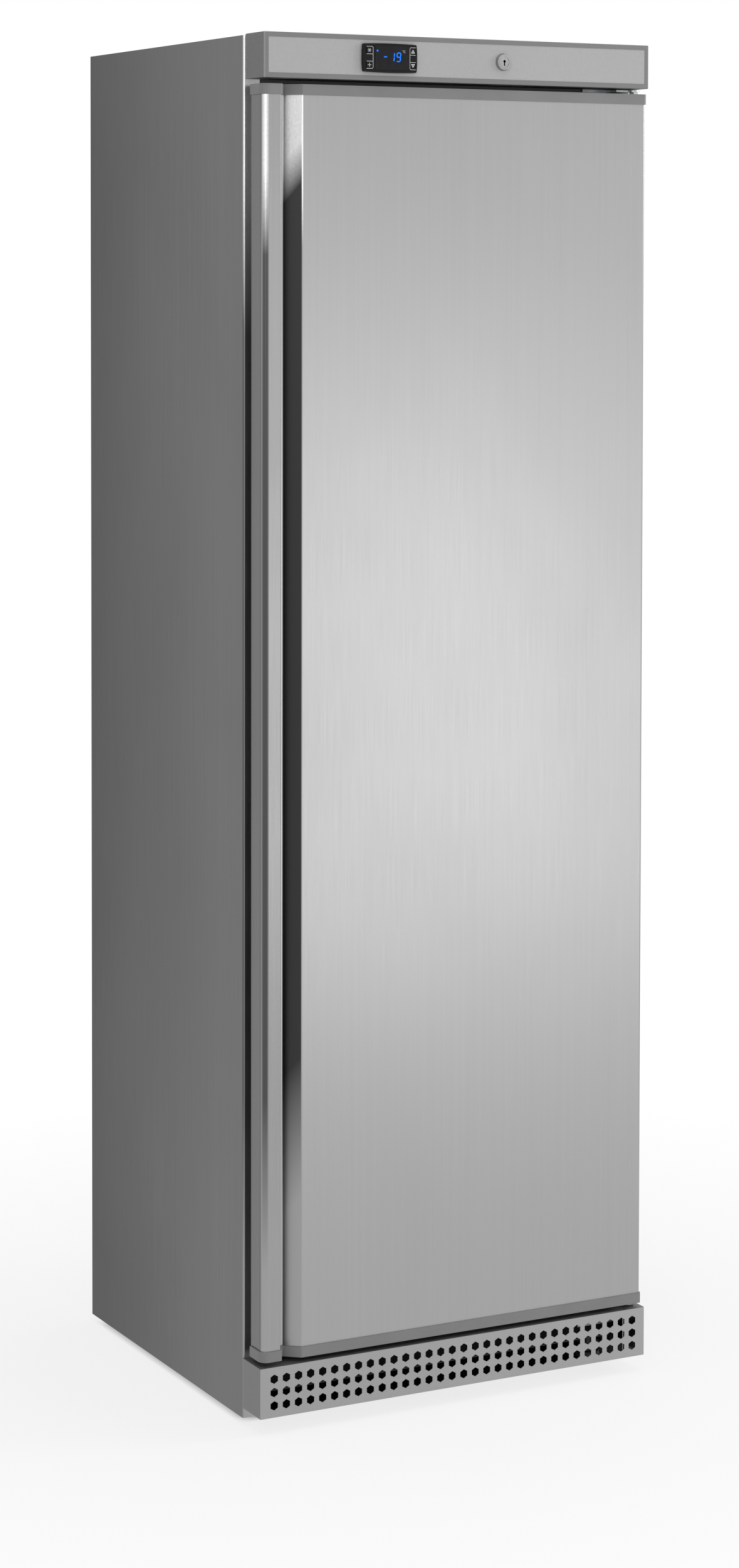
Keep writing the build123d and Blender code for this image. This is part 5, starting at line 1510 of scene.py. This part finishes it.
@dataclass
class RearFittings:
    """The stepped wall spacers and the cable gland."""

    spacer_x: float = 0.210
    spacer_z: float = 1.720
    sheet_y: float = 0.28505
    spacer_radius: float = 16.0 * MM
    gland: Triple = (-0.262, 0.28505, 0.062)
    flange_radius: float = 13.0 * MM
    barrel_radius: float = 9.0 * MM
    bore_radius: float = 4.5 * MM
    seam_gap: float = 0.02 * MM

    def spacers(self) -> None:
        """Two stepped rubber spacers."""
        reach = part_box("wall_spacers")[1][1] - self.sheet_y
        model = drum("spacer_model", (0, reach / 2, 0), self.spacer_radius, reach, Axis.Y, 40)
        with editing(model):
            pick_faces(model, lambda middle, normal: normal.y > FACING)
            moved(y=3 * MM - reach)
            inset(3 * MM)
            extruded(y=reach - 3 * MM)
            inset(4 * MM)
            moved(y=-1.5 * MM)
        bevelled(model, 0.7 * MM, 2)
        moves = (shift(side * self.spacer_x, self.sheet_y, self.spacer_z) for side in (-1, 1))
        parts = [copied(model, "spacer", move) for move in moves]
        bpy.data.objects.remove(model)
        complete(joined(parts, "stepped_spacers"), Body.CABINET, BLACK_RUBBER, ("wall_spacers",))

    def cable_gland(self) -> None:
        """The gland: a six-sided flange outside the sheet and a bored barrel behind it."""
        x, y, z = self.gland
        low, high = place_of("cable_gland")
        flange = drum("gland_flange", (x, (y + high.y) / 2, z), self.flange_radius, high.y - y, Axis.Y, 6)
        bevelled(flange, 0.4 * MM, 2, 20.0)
        seam = y - self.seam_gap
        barrel = drum("gland_barrel", (x, (seam + low.y) / 2, z), self.barrel_radius, seam - low.y, Axis.Y, 32)
        with editing(barrel):
            pick_faces(barrel, lambda middle, normal: normal.y < -FACING)
            inset(1.5 * MM)
        for part in (flange, barrel):
            cut_by(part, drum("bore", (x, y, z), self.bore_radius, 40.0 * MM, Axis.Y, 28))
        whole = joined([flange, barrel], "gland_body")
        bevelled(whole, 0.2 * MM, 1, 60.0)
        complete(whole, Body.CABINET, BLACK_PLASTIC, ("cable_gland",))

    def build(self) -> None:
        """Builds the spacers and the gland."""
        self.spacers()
        self.cable_gland()


# ==== Evaporator ==============================================================================
@dataclass
class ShelfWires:
    """The closer set of thin wires that lies across the tubes of every shelf."""

    levels: Tuple[float, float, int] = (0.344, 0.236833, 6)
    rise: float = 5.55 * MM
    radius: float = 1.3 * MM
    half_span: float = 0.153
    bays: int = 12
    extra: int = 2

    def build(self) -> None:
        """Models one wire and copies it between the CAD's own."""
        low, high = place_of("evaporator_shelves")
        length = high.y - low.y - 1 * MM
        first, pitch, count = self.levels
        wire = drum("wire_model", (0, (low.y + high.y) / 2, 0), self.radius, length, Axis.Y, 8)
        parts = []
        bay = 2 * self.half_span / self.bays
        for level in range(count):
            z = first + level * pitch + self.rise
            for number in range(self.bays):
                for step in range(1, self.extra + 1):
                    x = -self.half_span + bay * (number + step / (self.extra + 1))
                    parts.append(copied(wire, "wire", shift(x, 0, z)))
        bpy.data.objects.remove(wire)
        complete(joined(parts, "shelf_wires"), Body.CABINET, LACQUER, smooth=60.0)


# ==== Machine space ===========================================================================
@dataclass
class MachineSpace:
    """The condenser's close fins and the twisted fan."""

    fin_pitch: float = 3.0 * MM
    fin_sheet: float = 0.3 * MM
    fin_x: Pair = (-0.247, -0.217)
    fin_y: Pair = (0.09505, 0.26305)
    fin_z: Pair = (0.0425, 0.1915)
    fin_wave: float = 0.25 * MM
    hub_low: float = -0.2095
    hub_length: float = 14.0 * MM
    hub_radius: float = 20.0 * MM
    tip_radius: float = 66.0 * MM
    blades: int = 5

    def fins(self) -> None:
        """Close fins between the CAD condenser's own sheets."""
        half = self.fin_sheet / 2
        (left, right), (bottom, top) = self.fin_x, self.fin_z
        centre = (left + right) / 2
        fin = block("fin_model", (left, -half, bottom), (right, half, top))
        with editing(fin):
            pick_all()
            bpy.ops.mesh.subdivide(number_cuts=3)
            pick_faces(fin, lambda middle, normal: abs(normal.y) > FACING and abs(middle.x - centre) < 5 * MM)
            moved(y=self.fin_wave)
        parts = []
        y, end = self.fin_y[0] + self.fin_pitch / 2, self.fin_y[1]
        while y < end:
            parts.append(copied(fin, "fin", shift(0, y, 0)))
            y += self.fin_pitch
        bpy.data.objects.remove(fin)
        complete(joined(parts, "condenser_fins"), Body.CABINET, FIN_METAL, smooth=None)

    def fan(self) -> None:
        """A hub with five twisted blades."""
        low, high = place_of("fan_blade")
        y, z = (low.y + high.y) / 2, (low.z + high.z) / 2
        centre = self.hub_low + self.hub_length / 2
        hub = drum("fan_hub", (centre, y, z), self.hub_radius, self.hub_length, Axis.X, 40)
        with editing(hub):
            pick_faces(hub, lambda middle, normal: normal.x < -FACING)
            inset(3 * MM)
        bevelled(hub, 1.2 * MM, 3)
        parts = [hub]
        clear_selection()
        bpy.ops.mesh.primitive_grid_add(x_subdivisions=10, y_subdivisions=6, size=1)
        blade = bpy.context.active_object
        blade.name = "blade_model"
        root = self.hub_radius - 2 * MM
        span = self.tip_radius - root
        for vertex in blade.data.vertices:
            along, across = vertex.co.x + 0.5, vertex.co.y
            radius = root + span * along
            chord = 24 * MM + 14 * MM * math.sin(math.pi * (0.15 + 0.7 * along)) - 6 * MM * along
            pitch = math.radians(44 - 22 * along)
            sweep = 0.25 * along * along
            u = across * chord
            arch = 1.6 * MM * (1 - 4 * across * across)
            turn = (u * math.cos(pitch)) / radius + sweep
            vertex.co = (u * math.sin(pitch) + arch, radius * math.cos(turn), radius * math.sin(turn))
        with_modifier(blade, "SOLIDIFY", thickness=1.5 * MM, offset=0.0)
        for number in range(self.blades):
            turn = Matrix.Rotation(math.tau * number / self.blades, 4, "X")
            parts.append(copied(blade, "blade", shift(centre, y, z) @ turn))
        bpy.data.objects.remove(blade)
        bore = drum("bore", (centre, y, z), 3.05 * MM, 30 * MM, Axis.X, 24)
        cut_by(parts[0], bore)
        complete(joined(parts, "fan_impeller"), Body.FAN, BLACK_PLASTIC, ("fan_blade",))

    def build(self) -> None:
        """Builds what shows through the cover's slots."""
        self.fins()
        self.fan()


# ==== Studio ==================================================================================
@dataclass
class Camera:
    """The photograph's camera, solved from the cabinet's corners."""

    place: Triple = (-2.2427, -4.31605, 1.5461)
    yaw: float = -27.575
    pitch: float = 2.262
    roll: float = 0.0975
    focal: float = 5434.5
    centre: Pair = (589.5, 650.0)
    frame_size: Tuple[int, int] = (1179, 2500)
    sensor: float = 36.0

    def build(self) -> None:
        """Adds the camera and makes it the scene's."""
        width, height = self.frame_size
        lens = bpy.data.cameras.new("camera")
        lens.sensor_width = self.sensor
        lens.sensor_fit = "AUTO"
        lens.lens = self.focal * self.sensor / height
        lens.shift_x = (width / 2 - self.centre[0]) / height
        lens.shift_y = -(height / 2 - self.centre[1]) / height
        lens.clip_end = 100.0
        camera = bpy.data.objects.new("camera", lens)
        bpy.context.scene.collection.objects.link(camera)
        turn = Euler((math.radians(90 - self.pitch), 0, math.radians(self.yaw))).to_matrix().to_4x4()
        roll = Matrix.Rotation(math.radians(self.roll), 4, "Z")
        camera.matrix_world = Matrix.Translation(self.place) @ turn @ roll
        bpy.context.scene.camera = camera


@dataclass(frozen=True)
class Softbox:
    """One rectangular studio lamp."""

    name: str
    place: Triple
    aim: Triple
    size: Pair
    power: float

    def build(self) -> None:
        """Adds the lamp, turned to its aim."""
        lamp = bpy.data.lights.new(self.name, "AREA")
        lamp.shape = "RECTANGLE"
        lamp.size, lamp.size_y = self.size
        lamp.energy = self.power
        holder = bpy.data.objects.new(self.name, lamp)
        bpy.context.scene.collection.objects.link(holder)
        holder.location = self.place
        holder.rotation_euler = (Vector(self.aim) - Vector(self.place)).to_track_quat("-Z", "Y").to_euler()


@dataclass
class Studio:
    """A plain pale floor, a white surround and soft lamps."""

    surround: float = 0.45
    lamps: Tuple[Softbox, ...] = (
        Softbox("glow low", (1.22, -2.70, 0.28), (0.05, -0.28, 0.7), (1.25, 0.5), 2.75),
        Softbox("glow middle", (1.22, -2.70, 0.80), (0.05, -0.28, 1.05), (1.25, 0.5), 3.1),
        Softbox("glow high", (1.22, -2.70, 1.30), (0.05, -0.28, 1.4), (1.25, 0.5), 1.45),
        Softbox("left high", (-2.6, -3.6, 2.6), (0.0, 0.0, 1.4), (1.2, 1.2), 20.0),
        Softbox("right far", (3.2, -1.4, 2.4), (0.0, -0.3, 1.2), (1.2, 1.2), 38.0),
        Softbox("overhead", (0.0, -0.4, 4.2), (0.0, 0.0, 0.0), (3.0, 3.0), 38.0),
    )

    def surround_light(self) -> None:
        """White for the camera and for reflections, grey for what lights the object."""
        world = bpy.data.worlds.new("surround")
        bpy.context.scene.world = world
        world.use_nodes = True
        tree = world.node_tree
        tree.nodes.clear()
        ray = tree.nodes.new("ShaderNodeLightPath")
        lights = []
        for level in (self.surround, 1.0):
            light = tree.nodes.new("ShaderNodeBackground")
            light.inputs["Color"].default_value = (level, level, level, 1.0)
            lights.append(light.outputs[0])
        seen = ray.outputs["Is Camera Ray"]
        for kind in ("Is Glossy Ray", "Is Transmission Ray"):
            either = tree.nodes.new("ShaderNodeMath")
            either.operation = "MAXIMUM"
            tree.links.new(seen, either.inputs[0])
            tree.links.new(ray.outputs[kind], either.inputs[1])
            seen = either.outputs[0]
        blend = tree.nodes.new("ShaderNodeMixShader")
        for start, end in zip((seen, *lights), blend.inputs):
            tree.links.new(start, end)
        output = tree.nodes.new("ShaderNodeOutputWorld")
        tree.links.new(blend.outputs[0], output.inputs["Surface"])

    def floor(self) -> None:
        """A wide pale floor."""
        clear_selection()
        bpy.ops.mesh.primitive_plane_add(size=60.0)
        floor = named("studio_floor")
        dress(floor, STUDIO_FLOOR)

    def build(self) -> None:
        """Builds the surround, the floor and the lamps."""
        self.surround_light()
        self.floor()
        for lamp in self.lamps:
            lamp.build()
        bpy.context.scene.view_settings.view_transform = "Standard"


def dress_nodes() -> None:
    """Gives every CAD node its finish."""
    for name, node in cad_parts.items():
        dress(node, NODE_FINISH[name])
        LOG.info("%s has the finish %s", name, NODE_FINISH[name].name)


def main() -> None:
    """Builds the studio, dresses the CAD nodes and adds the fine pieces."""
    logging.basicConfig(level=logging.INFO, format="%(message)s")
    Camera().build()
    Studio().build()
    dress_nodes()
    Controller().build()
    CrossScrews().build()
    BellowsGasket().build()
    Footing().build()
    RearFittings().build()
    ShelfWires().build()
    MachineSpace().build()


if __name__ == "__main__":
    main()
